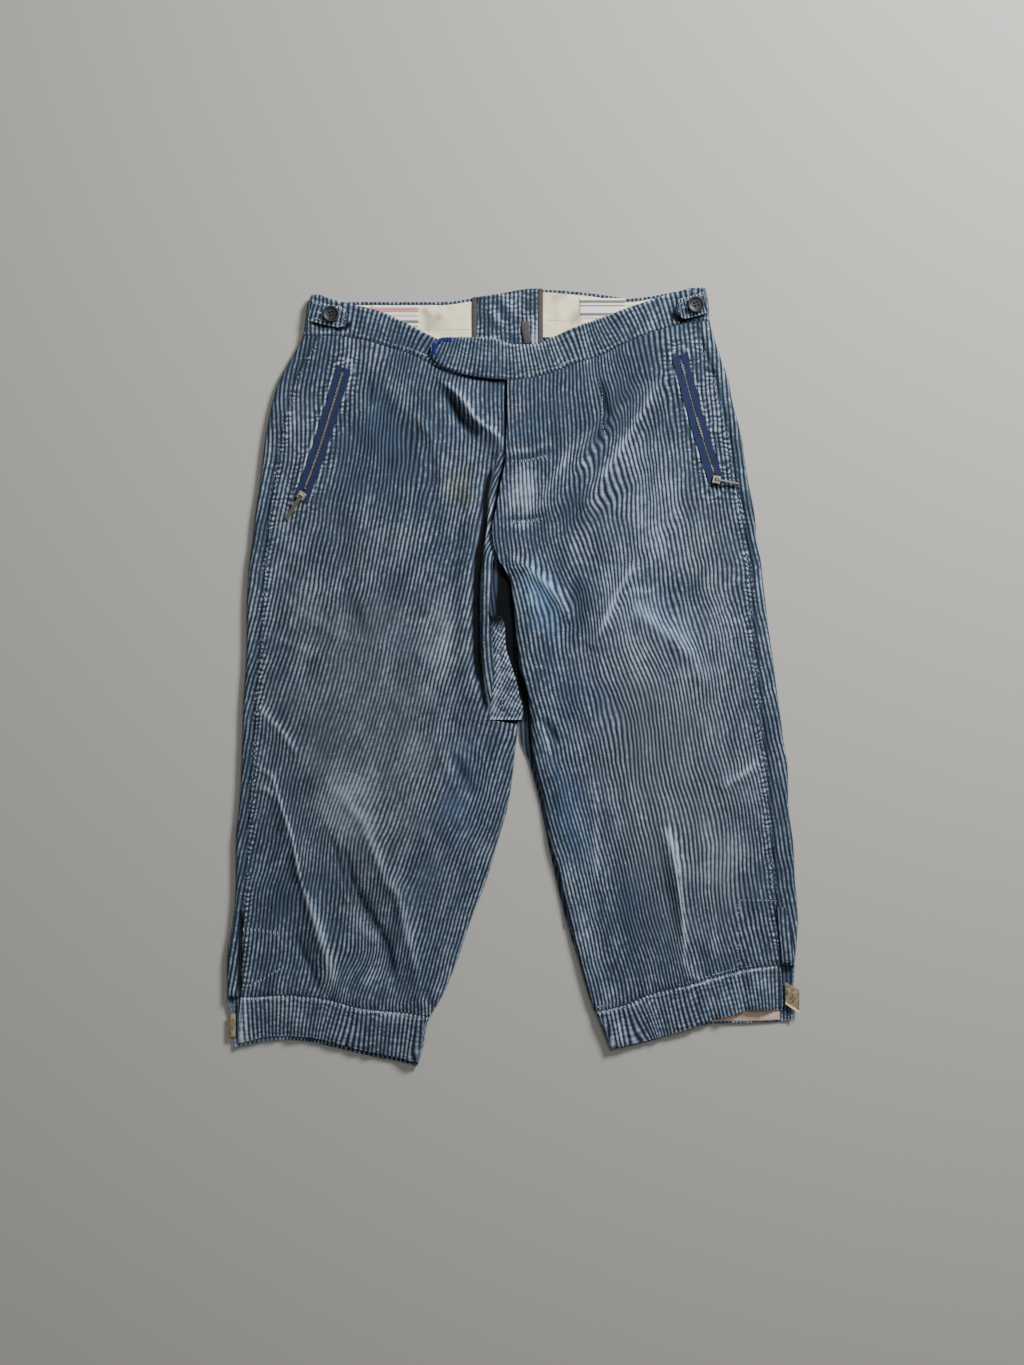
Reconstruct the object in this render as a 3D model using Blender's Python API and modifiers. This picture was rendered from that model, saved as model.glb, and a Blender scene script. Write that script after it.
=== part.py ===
"""Wide-wale corduroy knee breeches, laid flat with the front up.

All sizes are millimetres until a mesh is made. X points to the wearer's left, Y to the waist and Z up.
The back panels lie on the floor, wrap round the outer edges and meet the fronts at the side seams.
"""
import math
from collections import namedtuple

import bpy
import numpy as np
from mathutils import Vector
from mathutils.bvhtree import BVHTree

# Driving sizes
MM = 0.001
CENTRE_X = 0.0
CENTRE_Y = -2.264
WALL = 2.0
SEAM_GAP = 0.3
REST_GAP = 0.45
PANEL_HEIGHT = 7.0
EDGE_RISE = 1.5
EDGE_REACH = 18.0
EDGE_PROBE = 4.0
TUCK_HEIGHT = 4.5
TUCK_CLEARANCE = 2.0
TUCK_SLOPE = 1.1
TUCK_REACH = 30.0
FLY_RISE = 1.2
FLY_REACH = 22.0
LOWEST_FRONT = 4.4
BAND_WALL = 2.2
LAP_GAP = 0.5
TAB_END_X = -83.0
TAB_ROUND = 11.0
WAIST_Y = 344.0
RIGHT_SIDE_X = -200.0
LEFT_SIDE_X = 188.0
KNEE_Y = -327.0
CROTCH_Y = -47.0
CROTCH_STEP = 3.0
CENTRE_BACK_X = -5.0
CROTCH_BACK_X = 5.0
FLY_END_Y = 125.0
FOLD_TOP_Y = 222.0
SLIT_Y_RIGHT = -240.0
SLIT_Y_LEFT = -229.0
ROW_PITCH = 26.0
ROW_SPACE = 8.0
WAIST_LEVEL_Y = 150.0
KNEE_LEVEL_Y = -170.0
RIGHT_FRONT_ROLL = (-47.0, -55.0)
LEFT_FRONT_ROLL = (112.0, 88.0)
RIGHT_BACK_ROLL = (-50.0, -74.0)
LEFT_BACK_ROLL = (-225.0, -280.0)
LEFT_FORK_Y = -79.0
LEFT_LEG_RISE = (73.0, 13.0)
RIGHT_LEG_RISE = (-47.0, -67.0)
LEAST_BEND = 0.05
ROLL_STUB = 3.0
FOLD_LEAD = 12.0
TAB_ROOT_X = -14.0
SLIT_FADE = 12.0
SLIT_OPENING = 1.2
TURN_SHARES = (0.33, 0.67, 1.0)
TURN_GAP = 0.037
# Shares of the half turn round the outer edge, from above to the floor, and where the bands are cut
TUBE_SHARES = (1.0, 0.83, 0.67, 0.5, 0.33, 0.17, 0.0)
SPLIT = 5

# Pieces that lie on the panels
LINING_HEIGHT = 2.35
LINING_WALL = 1.0
LABEL_WALL = 0.7
BINDING_WALL = 2.4
LOOP_WALL = 1.1
STRAP_WALL = 1.5
KNEE_TAB_WALL = 2.0
STRAP_HEIGHT = 4.6
TAPE_WIDTH = 15.0
TAPE_WALL = 0.9
TEETH_WIDTH = 4.6
TEETH_WALL = 1.3
BUTTON_DIAMETER = 17.0
BUTTON_HEIGHT = 3.2
BUTTON_HOLE = 1.9
HOLE_OFFSET = 2.3
BUTTON_SIDES = 24
BUTTON_TURN = 0.3
SIDE_TAB_WIDTH = 21.0
SLIDER_LENGTH = 7.6
SLIDER_HEIGHT = 2.4
STEEPEST_PULL = 0.6
PIN_RADIUS = 0.6
RING_INNER = 0.95
RING_OUTER = 1.9

# One row of a leg's outline: the outer edge, the side seam, and the inner edge of the front
Outline = namedtuple("Outline", "y outer seam inner")
RIGHT_OUTLINE = (
    Outline(395, -203, -190, 2),
    Outline(387, -205, -190, 2),
    Outline(378, -209, -194, 2),
    Outline(362, -211, -197, 2),
    Outline(344, -214, -200, 2),
    Outline(321, -226, -212, 2),
    Outline(301, -237, -222, 2),
    Outline(280, -244, -228, 2),
    Outline(240, -252, -237, 1),
    Outline(199, -257, -244, -2),
    Outline(158, -263, -250, -9),
    Outline(136, -265, -251, -14),
    Outline(117, -268, -254, -20),
    Outline(92, -270, -255, -22),
    Outline(66, -271, -256, -25),
    Outline(34, -271, -258, -21),
    Outline(7, -272, -260, -19),
    Outline(-20, -274, -262, -22),
    Outline(-46, -275, -264, -24),
    Outline(-50, -275, -264, 5),
    Outline(-80, -276, -266, 2),
    Outline(-109, -277, -268, -1),
    Outline(-137, -279, -269, -6),
    Outline(-168, -282, -271, -15),
    Outline(-209, -282, -273, -27),
    Outline(-250, -285, -276, -43),
    Outline(-291, -291, -277, -57),
    Outline(-327, -291, -278, -72),
    Outline(-352, -285, -280, -86),
    Outline(-377, -283, -281, -91),
    Outline(-398, -280, -279, -97),
)
LEFT_OUTLINE = (
    Outline(398, 195, 181, -6),
    Outline(378, 199, 185, -6),
    Outline(362, 200, 187, -6),
    Outline(342, 205, 191, -6),
    Outline(321, 212, 199, -6),
    Outline(301, 219, 206, -6),
    Outline(280, 223, 211, -6),
    Outline(240, 233, 221, -7),
    Outline(217, 236, 224, -8),
    Outline(193, 240, 228, -13),
    Outline(170, 245, 234, -17),
    Outline(153, 247, 236, -21),
    Outline(135, 248, 238, -20),
    Outline(118, 252, 241, -15),
    Outline(99, 254, 243, -4),
    Outline(73, 257, 244, 0),
    Outline(34, 262, 246, 4),
    Outline(5, 266, 249, 7),
    Outline(-12, 268, 251, 13),
    Outline(-48, 273, 254, 18),
    Outline(-66, 275, 256, 19),
    Outline(-87, 279, 258, 21),
    Outline(-109, 280, 260, 26),
    Outline(-128, 280, 261, 31),
    Outline(-168, 285, 264, 37),
    Outline(-209, 287, 267, 48),
    Outline(-250, 290, 269, 57),
    Outline(-291, 287, 273, 67),
    Outline(-332, 285, 276, 79),
    Outline(-356, 285, 273, 89),
    Outline(-385, 284, 271, 100),
)

# Where the left back reaches past the left front on the inner leg, as (y, x)
LEFT_BACK_INNER = ((-48, 7), (-66, 8), (-87, 16), (-109, 22), (-128, 27), (-168, 35), (-209, 44),
                   (-250, 54), (-291, 67))

# The middle of the deep fold beside the fly, which the columns of the right front follow
FOLD_LINE = (
    (344, -20), (260, -20), (222, -19), (198, -26), (178, -29), (157, -31), (140, -33), (120, -36),
    (103, -37), (60, -38), (27, -38), (4, -36), (-17, -35), (-46, -34), (-80, -31), (-137, -36),
    (-209, -58), (-291, -88), (-327, -104),
)

# Curved edges of the bands, each a row of (x, y)
Curve = namedtuple("Curve", "name points")
WAIST_SEAM = Curve("waist seam", (
    (-217, 344), (-183, 345), (-153, 341), (-122, 333), (-91, 323), (-74, 314), (-49, 305), (-5, 300),
    (16, 302), (35, 307), (60, 317), (83, 324), (112, 337), (143, 349), (174, 357), (203, 361)))
BAND_TOP_RIGHT = Curve("top edge of the right waistband", (
    (-209, 386), (-200, 387), (-183, 382), (-163, 377), (-133, 369), (-111, 359), (-91, 349), (-74, 341),
    (-40, 333), (-6, 329)))
BAND_TOP_LEFT = Curve("top edge of the left waistband", (
    (-85, 341), (-76, 342), (-49, 343), (-18, 341), (3, 336), (22, 336), (39, 343), (60, 353), (91, 364),
    (120, 375), (154, 386), (190, 394), (203, 392)))
BACK_TOP = Curve("top edge of the back waistband", (
    (-209, 381), (-178, 380), (-123, 380), (-72, 380), (-40, 384), (-13, 388), (19, 393), (48, 392),
    (93, 387), (120, 383), (140, 386), (170, 391), (198, 393)))
KNEE_SEAM_RIGHT = Curve("seam over the right knee band", (
    (-291, -326), (-278, -327), (-237, -325), (-195, -328), (-153, -338), (-115, -342), (-80, -346)))
KNEE_HEM_RIGHT = Curve("hem of the right knee band", (
    (-291, -373), (-278, -374), (-257, -369), (-237, -367), (-205, -369), (-173, -377), (-143, -384),
    (-111, -390), (-93, -395)))
KNEE_SEAM_LEFT = Curve("seam over the left knee band", (
    (81, -341), (111, -335), (140, -324), (177, -315), (212, -305), (247, -297), (274, -295), (289, -295)))
KNEE_HEM_LEFT = Curve("front hem of the left knee band", (
    (94, -381), (131, -373), (165, -364), (201, -352), (224, -345), (243, -340), (270, -341), (283, -342)))
KNEE_BACK_HEM_LEFT = Curve("back hem of the left knee band", (
    (94, -383), (131, -375), (165, -365), (201, -355), (242, -354), (270, -353), (286, -351)))

# The free edge of the gusset, and the edge of the left slit's underlap, as (y, x)
FORK_EDGE = ((66, -16), (53, -9), (27, -7), (14, -3), (-5, 3), (-22, 7), (-35, 10), (-46, 9))
FORK_TOP_Y = 60.0
FORK_EDGE_HEIGHT = 5.2
FORK_CROWN = 0.8
UNDERLAP_EDGE = ((-300, 284), (-292, 283.5), (-278, 284), (-255, 281.5), (-232, 275))
UNDERLAP_ROWS = (-236.0, -250.0, -265.0, -280.0, -292.0)
UNDERLAP_WALL = 1.4

# Folds of the cloth: a soft ridge along a path, or a trough where the height is negative
Fold = namedtuple("Fold", "name height width path")
RIGHT_FOLDS = (
    Fold("fly roll", 5.5, 8, ((-80, 308), (-58, 288), (-40, 262), (-26, 250), (-13, 241), (-9, 222))),
    Fold("fly valley", -2.0, 7, ((-68, 284), (-54, 260), (-36, 240))),
    Fold("gap crest", 4.6, 9, ((-34, 232), (-43, 160), (-49, 100), (-50, 40), (-44, -30))),
    Fold("gap", -8.5, 4.2, (
        (-20, 226), (-29, 178), (-33, 140), (-37, 103), (-38, 40), (-36, -2), (-34, -20))),
    Fold("fork strip", 3.0, 6, ((-21, 190), (-27, 130), (-29, 66), (-26, 0), (-22, -40))),
    Fold("hip swell", 3.0, 22, ((-123, 329), (-90, 275), (-71, 199))),
    Fold("pocket swell", 2.4, 14, ((-153, 329), (-137, 305), (-111, 280))),
    Fold("thigh crease", 2.5, 8, ((-259, -35), (-243, -50), (-219, -81))),
    Fold("knee crease", 4.2, 9, ((-255, -93), (-238, -125), (-220, -180), (-200, -246), (-176, -328))),
    Fold("knee ridge", 4.0, 10, ((-156, -160), (-133, -196), (-115, -221), (-105, -266), (-91, -335))),
    Fold("shin groove", -1.7, 7, ((-176, -172), (-157, -220), (-134, -261), (-121, -318))),
    Fold("small groove", -1.4, 6, ((-222, -258), (-208, -290), (-195, -327))),
)
LEFT_FOLDS = (
    Fold("thigh fold", 4.5, 12, ((152, 305), (132, 271), (112, 234), (95, 208), (68, 168))),
    Fold("fly drag", 2.2, 10, ((98, 262), (66, 217), (29, 159))),
    Fold("hip fall", 2.4, 12, ((143, 237), (150, 178), (129, 121))),
    Fold("thigh crease", 4.2, 8, ((125, 116), (110, 90), (99, 67), (79, 26))),
    Fold("crotch bulge", 4.0, 9, ((-6, 116), (14, 111), (35, 90), (50, 75), (57, 52))),
    Fold("inner roll", 2.6, 13, ((12, 110), (18, 40), (30, -30), (42, -110))),
    Fold("thigh swell", 3.2, 12, ((122, 68), (154, 44), (188, 15), (198, -28))),
    Fold("side crease", 3.0, 7, ((206, -114), (232, -100), (252, -85))),
    Fold("shin crease", 5.0, 9, ((152, -145), (163, -186), (171, -225), (174, -280), (184, -322))),
    Fold("band lift", 4.0, 18, ((205, -352), (240, -338), (275, -338))),
)

# Colours of the plain materials: name, colour, roughness, metallic
Finish = namedtuple("Finish", "name color roughness metallic")
CORDUROY = Finish("corduroy", (0.11, 0.17, 0.25), 0.95, 0.0)
LINING = Finish("lining cotton", (0.80, 0.74, 0.60), 0.9, 0.0)
FACING = Finish("knee band facing", (0.57, 0.40, 0.35), 0.9, 0.0)
BINDING = Finish("binding tape", (0.08, 0.07, 0.07), 0.9, 0.0)
LABEL = Finish("label cloth", (0.85, 0.83, 0.78), 0.8, 0.0)
ZIP_TAPE = Finish("zip tape", (0.02, 0.04, 0.14), 0.85, 0.0)
BRASS = Finish("zip metal", (0.42, 0.34, 0.20), 0.4, 1.0)
HORN = Finish("button", (0.03, 0.035, 0.04), 0.4, 0.0)
LEATHER = Finish("leather", (0.42, 0.28, 0.13), 0.7, 0.0)

collection = bpy.data.collections.new("corduroy_breeches")
cutters = bpy.data.collections.new("cutters")
materials = {}


def clear_scene():
    """Removes what the start-up file holds."""
    for item in list(bpy.data.objects):
        bpy.data.objects.remove(item, do_unlink=True)
    bpy.context.scene.collection.children.link(collection)
    bpy.context.scene.collection.children.link(cutters)


def material(finish):
    """One Principled material for each finish."""
    if finish.name not in materials:
        made = bpy.data.materials.new(finish.name)
        made.use_nodes = True
        shader = made.node_tree.nodes["Principled BSDF"]
        shader.inputs["Base Color"].default_value = (*finish.color, 1.0)
        shader.inputs["Roughness"].default_value = finish.roughness
        shader.inputs["Metallic"].default_value = finish.metallic
        made.diffuse_color = (*finish.color, 1.0)
        materials[finish.name] = made
    return materials[finish.name]


def smooth_line(xs, ys, x):
    """Cubic through the points, with each slope the mean of its neighbours' slopes, flat past the ends."""
    xs = np.asarray(xs, float)
    ys = np.asarray(ys, float)
    order = np.argsort(xs)
    xs, ys = xs[order], ys[order]
    steps = np.diff(ys) / np.diff(xs)
    slopes = np.concatenate(([steps[0]], (steps[1:] + steps[:-1]) / 2, [steps[-1]]))
    turns = np.concatenate(([False], steps[1:] * steps[:-1] <= 0, [False]))
    slopes[turns] = 0.0
    limit = 3 * np.minimum(np.abs(np.append(steps, steps[-1])), np.abs(np.insert(steps, 0, steps[0])))
    slopes = np.clip(slopes, -limit, limit)
    x = np.clip(np.asarray(x, float), xs[0], xs[-1])
    i = np.clip(np.searchsorted(xs, x) - 1, 0, len(xs) - 2)
    width = xs[i + 1] - xs[i]
    t = (x - xs[i]) / width
    return ((2 * t ** 3 - 3 * t ** 2 + 1) * ys[i] + (t ** 3 - 2 * t ** 2 + t) * width * slopes[i]
            + (3 * t ** 2 - 2 * t ** 3) * ys[i + 1] + (t ** 3 - t ** 2) * width * slopes[i + 1])


def line_x(line, y):
    """The x of a line given as (y, x)."""
    return smooth_line([p[0] for p in line], [p[1] for p in line], y)


def edge(outline, column, y):
    """An outline's column at the heights y."""
    return smooth_line([row.y for row in outline], [getattr(row, column) for row in outline], y)


def back_inner(outline, y):
    """A back's inner edge: the centre-back seam, and below the crotch the inner leg."""
    if y > CROTCH_Y:
        return CENTRE_BACK_X + (CROTCH_BACK_X - CENTRE_BACK_X) * (WAIST_Y - y) / (WAIST_Y - CROTCH_Y)
    if outline is LEFT_OUTLINE and y > LEFT_BACK_INNER[-1][0]:
        return line_x(LEFT_BACK_INNER, y)
    return edge(outline, "inner", y)


def curve_y(curve, x):
    """A band edge's y at x."""
    return smooth_line([p[0] for p in curve.points], [p[1] for p in curve.points], x)


def ramp(value, start, end):
    """Smooth step from 0 at start to 1 at end."""
    t = np.clip((np.asarray(value, float) - start) / (end - start), 0, 1)
    return t * t * (3 - 2 * t)


def path_distance(path, x, y):
    """Distance from (x, y) to the path, and the share of the path before its nearest point."""
    points = np.asarray(path, float)
    lengths = np.hypot(*np.diff(points, axis=0).T)
    total = lengths.sum()
    best = np.full(np.shape(x), np.inf)
    share = np.zeros(np.shape(x))
    before = 0.0
    for start, stop, length in zip(points[:-1], points[1:], lengths):
        way = (stop - start) / length
        t = np.clip((x - start[0]) * way[0] + (y - start[1]) * way[1], 0, length)
        gap = np.hypot(x - start[0] - t * way[0], y - start[1] - t * way[1])
        nearer = gap < best
        best = np.where(nearer, gap, best)
        share = np.where(nearer, (before + t) / total, share)
        before += length
    return best, share


def folds(table, x, y):
    """Sum of the table's folds: a bell across each path, rising and falling along it."""
    total = np.zeros(np.shape(x))
    for fold in table:
        gap, share = path_distance(fold.path, x, y)
        swell = np.sqrt(np.clip(4 * share * (1 - share), 0, 1))
        total = total + fold.height * swell * np.exp(-(gap / fold.width) ** 2)
    return total


def near(gap, reach):
    """Bell of the distance from an edge."""
    return np.exp(-(gap / reach) ** 2)


def right_height(x, y):
    """Outer height of the right leg's upper side, low where it tucks under the fly."""
    inner = edge(RIGHT_OUTLINE, "inner", y)
    leg = ramp(y, *RIGHT_LEG_RISE)
    height = PANEL_HEIGHT + EDGE_RISE * near(x - edge(RIGHT_OUTLINE, "outer", y), EDGE_REACH)
    height = height + EDGE_RISE * leg * near(x - inner, EDGE_REACH) + folds(RIGHT_FOLDS, x, y)
    room = edge(LEFT_OUTLINE, "inner", y) - TUCK_CLEARANCE - x
    tucked = TUCK_HEIGHT + np.clip(room, 0, TUCK_REACH) * TUCK_SLOPE
    return np.clip(height, LOWEST_FRONT, tucked)


def left_height(x, y):
    """Outer height of the left leg's upper side, raised along the fly that laps over the right front."""
    inner = edge(LEFT_OUTLINE, "inner", y)
    leg = ramp(y, *LEFT_LEG_RISE)
    fly = ramp(y, FLY_END_Y - 20, FLY_END_Y)
    height = PANEL_HEIGHT + EDGE_RISE * near(x - edge(LEFT_OUTLINE, "outer", y), EDGE_REACH)
    height = height + EDGE_RISE * leg * near(x - inner, EDGE_REACH)
    height = height + FLY_RISE * fly * near(x - inner, FLY_REACH) + folds(LEFT_FOLDS, x, y)
    return np.maximum(height, LOWEST_FRONT)


def stations(*extra):
    """Rows from waist to knee: an even pitch, and the rows that a form needs."""
    count = round((WAIST_Y - KNEE_Y) / ROW_PITCH)
    even = np.linspace(WAIST_Y, KNEE_Y, count + 1)
    kept = [y for y in even if all(abs(y - e) > ROW_SPACE for e in extra) or y in (WAIST_Y, KNEE_Y)]
    return np.array(sorted(kept + list(extra), reverse=True), float)


def level(y, x, top_shift, low_shift):
    """Moves nominal rows so that the first follows the waist seam and the last the knee seam."""
    upper = ramp(y, WAIST_LEVEL_Y, WAIST_Y)
    lower = ramp(y, KNEE_LEVEL_Y, KNEE_Y)
    return y + top_shift(x) * upper + low_shift(x) * lower


def waist_shift(x):
    return curve_y(WAIST_SEAM, x) - SEAM_GAP / 2 - WAIST_Y


def right_knee_shift(x):
    return curve_y(KNEE_SEAM_RIGHT, x) + SEAM_GAP / 2 - KNEE_Y


def left_knee_shift(x):
    return curve_y(KNEE_SEAM_LEFT, x) + SEAM_GAP / 2 - KNEE_Y


def right_back_shift(x):
    """The right back's waist seam is level, at the height where the side seam ends."""
    return waist_shift(RIGHT_SIDE_X) + 0.0 * x


def left_back_shift(x):
    """The left back's waist seam rises from centre back to the side seam."""
    return waist_shift(RIGHT_SIDE_X) + (waist_shift(LEFT_SIDE_X) - waist_shift(RIGHT_SIDE_X)) * np.clip(
        x / LEFT_SIDE_X, 0, 1)


def right_rows():
    """Rows of the right leg, with one at each turn of the fly, the gusset, the crotch and the slit."""
    return stations(FOLD_TOP_Y, FLY_END_Y, FLY_END_Y - 12, FORK_TOP_Y, CROTCH_Y + CROTCH_STEP / 2,
                    CROTCH_Y - CROTCH_STEP, SLIT_Y_RIGHT)


def left_rows():
    """Rows of the left leg, with one at each turn of the fly, the rolled inner edge and the slit."""
    return stations(FOLD_TOP_Y, FLY_END_Y, FLY_END_Y - 14, sum(LEFT_FRONT_ROLL) / 2,
                    CROTCH_Y + CROTCH_STEP / 2, LEFT_FORK_Y, SLIT_Y_LEFT)


def roll(edge_x, way, height, bend, length, t):
    """Points along an edge that rolls down: a stretch of cloth bent by an angle over its length.

    way is the sign of X towards the edge, and t runs from 0, where the roll starts, to 1 at the edge.
    """
    bend = np.maximum(bend, 1e-3)
    radius = length / bend
    start = edge_x - way * radius * np.sin(bend)
    x = start + way * radius * np.sin(bend * t)
    drop = radius * (1 - np.cos(bend * t))
    return start, x, height - drop


def grid_mesh(name, points, facing):
    """A mesh of quads over an array of points, rows by columns, facing up or, with -1, down."""
    rows, columns = points.shape[:2]
    moved = (points - np.array([CENTRE_X, CENTRE_Y, 0.0])) * MM
    index = np.arange(rows * columns).reshape(rows, columns)
    corners = np.stack([index[:-1, :-1], index[1:, :-1], index[1:, 1:], index[:-1, 1:]], axis=-1)
    faces = corners.reshape(-1, 4)
    across = moved[1:, 1:] - moved[:-1, :-1]
    along = moved[:-1, 1:] - moved[1:, :-1]
    upward = (across[..., 0] * along[..., 1] - across[..., 1] * along[..., 0]).sum()
    if upward * facing < 0:
        faces = faces[:, ::-1]
    mesh = bpy.data.meshes.new(name)
    mesh.from_pydata(moved.reshape(-1, 3).tolist(), [], faces.tolist())
    mesh.update()
    return mesh


def cloth(name, points, finish, wall=WALL, grow=-1.0, facing=1):
    """A wall of cloth: the open surface, given its thickness inwards or outwards."""
    mesh = grid_mesh(name, points, facing)
    mesh.shade_smooth()
    item = bpy.data.objects.new(name, mesh)
    collection.objects.link(item)
    mesh.materials.append(material(finish))
    solid = item.modifiers.new("Wall", "SOLIDIFY")
    solid.thickness = wall * MM
    solid.offset = grow
    return item


def outward_normals(points, facing):
    """Normals of a grid that faces up or, with -1, down. At each rim they stand square to the seam."""
    along = np.gradient(points, axis=0)
    across = np.gradient(points, axis=1)
    normals = np.cross(across, along)
    if normals[..., 2].sum() * facing < 0:
        normals = -normals
    for row in (0, -1):
        normals[row, :, 1] = 0.0
    for column in (0, -1):
        steep = np.abs(normals[:, column, 0]) > np.abs(normals[:, column, 2])
        normals[:, column, 1] = 0.0
        normals[steep, column, 2] = 0.0
        normals[~steep, column, 0] = 0.0
    return normals / np.linalg.norm(normals, axis=-1, keepdims=True)


def garment_wall(name, points, facing=1, wall=WALL):
    """A panel of corduroy: its outer points, the same points moved in by the wall, and four rims.

    Solidify would tilt the rims where two panels meet, so the inner side is made here.
    """
    inner = points - wall * outward_normals(points, facing)
    rows, columns = points.shape[:2]
    index = np.arange(rows * columns).reshape(rows, columns)
    under = index + rows * columns
    corners = np.stack([index[:-1, :-1], index[:-1, 1:], index[1:, 1:], index[1:, :-1]], axis=-1)
    corners = corners.reshape(-1, 4)
    faces = [corners, corners[:, ::-1] + rows * columns]
    rim = np.concatenate([index[0, :-1], index[:-1, -1], index[-1, :0:-1], index[:0:-1, 0]])
    below = np.concatenate([under[0, :-1], under[:-1, -1], under[-1, :0:-1], under[:0:-1, 0]])
    faces.append(np.stack([np.roll(rim, -1), rim, below, np.roll(below, -1)], axis=-1))
    faces = np.concatenate(faces)
    turn = np.cross(points[1:, :-1] - points[:-1, :-1], points[:-1, 1:] - points[:-1, :-1])[..., 2].sum()
    if turn * facing > 0:
        faces = faces[:, ::-1]
    moved = (np.concatenate([points.reshape(-1, 3), inner.reshape(-1, 3)]) - [CENTRE_X, CENTRE_Y, 0]) * MM
    mesh = bpy.data.meshes.new(name)
    mesh.from_pydata(moved.tolist(), [], faces.tolist())
    mesh.update()
    mesh.shade_smooth()
    mesh.set_sharp_from_angle(angle=math.radians(50))
    mesh.materials.append(material(CORDUROY))
    item = bpy.data.objects.new(name, mesh)
    collection.objects.link(item)
    return item


def columns_between(start, stop, shares):
    """Columns at the given shares of the way from start to stop."""
    shares = np.asarray(shares)
    return start[:, None] + (stop - start)[:, None] * shares[None, :]


def right_columns(y):
    """The right front's columns: over the leg, into the deep fold, and on to the fly and the inner leg."""
    seam = edge(RIGHT_OUTLINE, "seam", y) + SEAM_GAP / 2
    seam = seam + SLIT_OPENING * ramp(y, SLIT_Y_RIGHT, SLIT_Y_RIGHT - SLIT_FADE)
    fold = line_x(FOLD_LINE, y)
    inner = edge(RIGHT_OUTLINE, "inner", y) - SEAM_GAP / 2
    bend = ramp(y, *RIGHT_FRONT_ROLL) * (math.pi / 2 - TURN_GAP)
    height = right_height(inner - EDGE_PROBE, y)
    length = np.where(bend > LEAST_BEND, height * math.pi / 4, ROLL_STUB)
    start, _, _ = roll(inner, 1, height, bend, length, 1.0)
    lead = columns_between(seam, fold - FOLD_LEAD, np.linspace(0, 1, 15))
    into = columns_between(fold - FOLD_LEAD, fold, (0.45, 0.75, 1.0))
    after = columns_between(fold, start, (0.33, 0.66, 1.0))
    tail = [roll(inner, 1, height, bend, length, share)[1:] for share in TURN_SHARES]
    tail_z = [np.where(bend > LEAST_BEND, z, right_height(x, y)) for x, z in tail]
    return np.hstack([lead, into, after, np.stack([x for x, _ in tail], axis=1)]), tail_z


def left_columns(y):
    """The left front's columns, from the side seam to the fly edge and the rolled inner leg."""
    seam = edge(LEFT_OUTLINE, "seam", y) - SEAM_GAP / 2
    seam = seam - SLIT_OPENING * ramp(y, SLIT_Y_LEFT, SLIT_Y_LEFT - SLIT_FADE)
    inner = edge(LEFT_OUTLINE, "inner", y) + SEAM_GAP / 2
    bend = ramp(y, *LEFT_FRONT_ROLL) * (math.pi / 2 - TURN_GAP)
    height = left_height(inner + EDGE_PROBE, y)
    length = np.where(bend > LEAST_BEND, height * math.pi / 4, ROLL_STUB)
    start, _, _ = roll(inner, -1, height, bend, length, 1.0)
    lead = columns_between(seam, start, np.concatenate([np.linspace(0, 0.8, 15), [0.86, 0.92, 0.96, 1.0]]))
    tail = [roll(inner, -1, height, bend, length, share)[1:] for share in TURN_SHARES]
    tail_z = [np.where(bend > LEAST_BEND, z, left_height(x, y)) for x, z in tail]
    return np.hstack([lead, np.stack([x for x, _ in tail], axis=1)]), tail_z


def front_points(rows, columns, height, low_shift):
    """A front panel's points: its columns at each row, its rows moved to the seams, and its height."""
    x, _ = columns(rows)
    y = level(rows[:, None], x, waist_shift, low_shift)
    points = np.zeros(x.shape + (3,))
    count = x.shape[1]
    for column in range(count):
        moved_x, tail_z = columns(y[:, column])
        points[:, column, 0] = moved_x[:, column]
        points[:, column, 1] = y[:, column]
        if column < count - len(tail_z):
            points[:, column, 2] = height(moved_x[:, column], y[:, column])
        else:
            points[:, column, 2] = tail_z[column - count]
    return points


def under_tube(outline, y, height, way, rise):
    """One row of a back: side seam, round the outer edge, along the floor and up the inner edge.

    way is the sign of X towards the outer edge, and rise the share of the turn at the inner edge.
    """
    outer = edge(outline, "outer", y)
    seam = edge(outline, "seam", y) + way * SEAM_GAP / 2
    inner = float(back_inner(outline, y)) + way * SEAM_GAP / 2
    radius = height(outer - way * EDGE_PROBE, y) / 2
    foot = outer - way * radius
    points = [(x, y, float(height(x, y))) for x in (seam, (seam + foot) / 2)]
    for share in TUBE_SHARES:
        angle = math.pi * share
        points.append((foot + way * radius * math.sin(angle), y, radius - radius * math.cos(angle)))
    turn_length = height(inner + way * EDGE_PROBE, y) * math.pi / 4
    bend = max(rise * (math.pi / 2 - TURN_GAP), 1e-3)
    turn = turn_length / bend
    inner_foot = inner + way * turn * math.sin(bend)
    for share in (0.33, 0.67):
        points.append((foot + (inner_foot - foot) * share, y, 0.0))
    for share in (0.0, *TURN_SHARES):
        angle = bend * share
        points.append((inner_foot - way * turn * math.sin(angle), y, turn * (1 - math.cos(angle))))
    return points


def back_points(outline, rows, height, way, rise_range, top_shift, low_shift):
    """A back panel's points, in the same rows as the front's."""
    lines = []
    for row in rows:
        rise = float(ramp(row, *rise_range))
        nominal = under_tube(outline, row, height, way, rise)
        line = []
        for index, point in enumerate(nominal):
            y = float(level(row, point[0], top_shift, low_shift))
            line.append(under_tube(outline, y, height, way, rise)[index])
        lines.append(line)
    return np.array(lines)


def split_arc(line, upper):
    """A back's row cut where it turns upright at the outer edge: the part above the cut or below it."""
    cut = line[SPLIT].copy()
    if upper:
        cut[2] += SEAM_GAP / 2
        return np.concatenate([line[:SPLIT], [cut]])
    cut[2] -= SEAM_GAP / 2
    return np.concatenate([[cut], line[SPLIT + 1:]])


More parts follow.
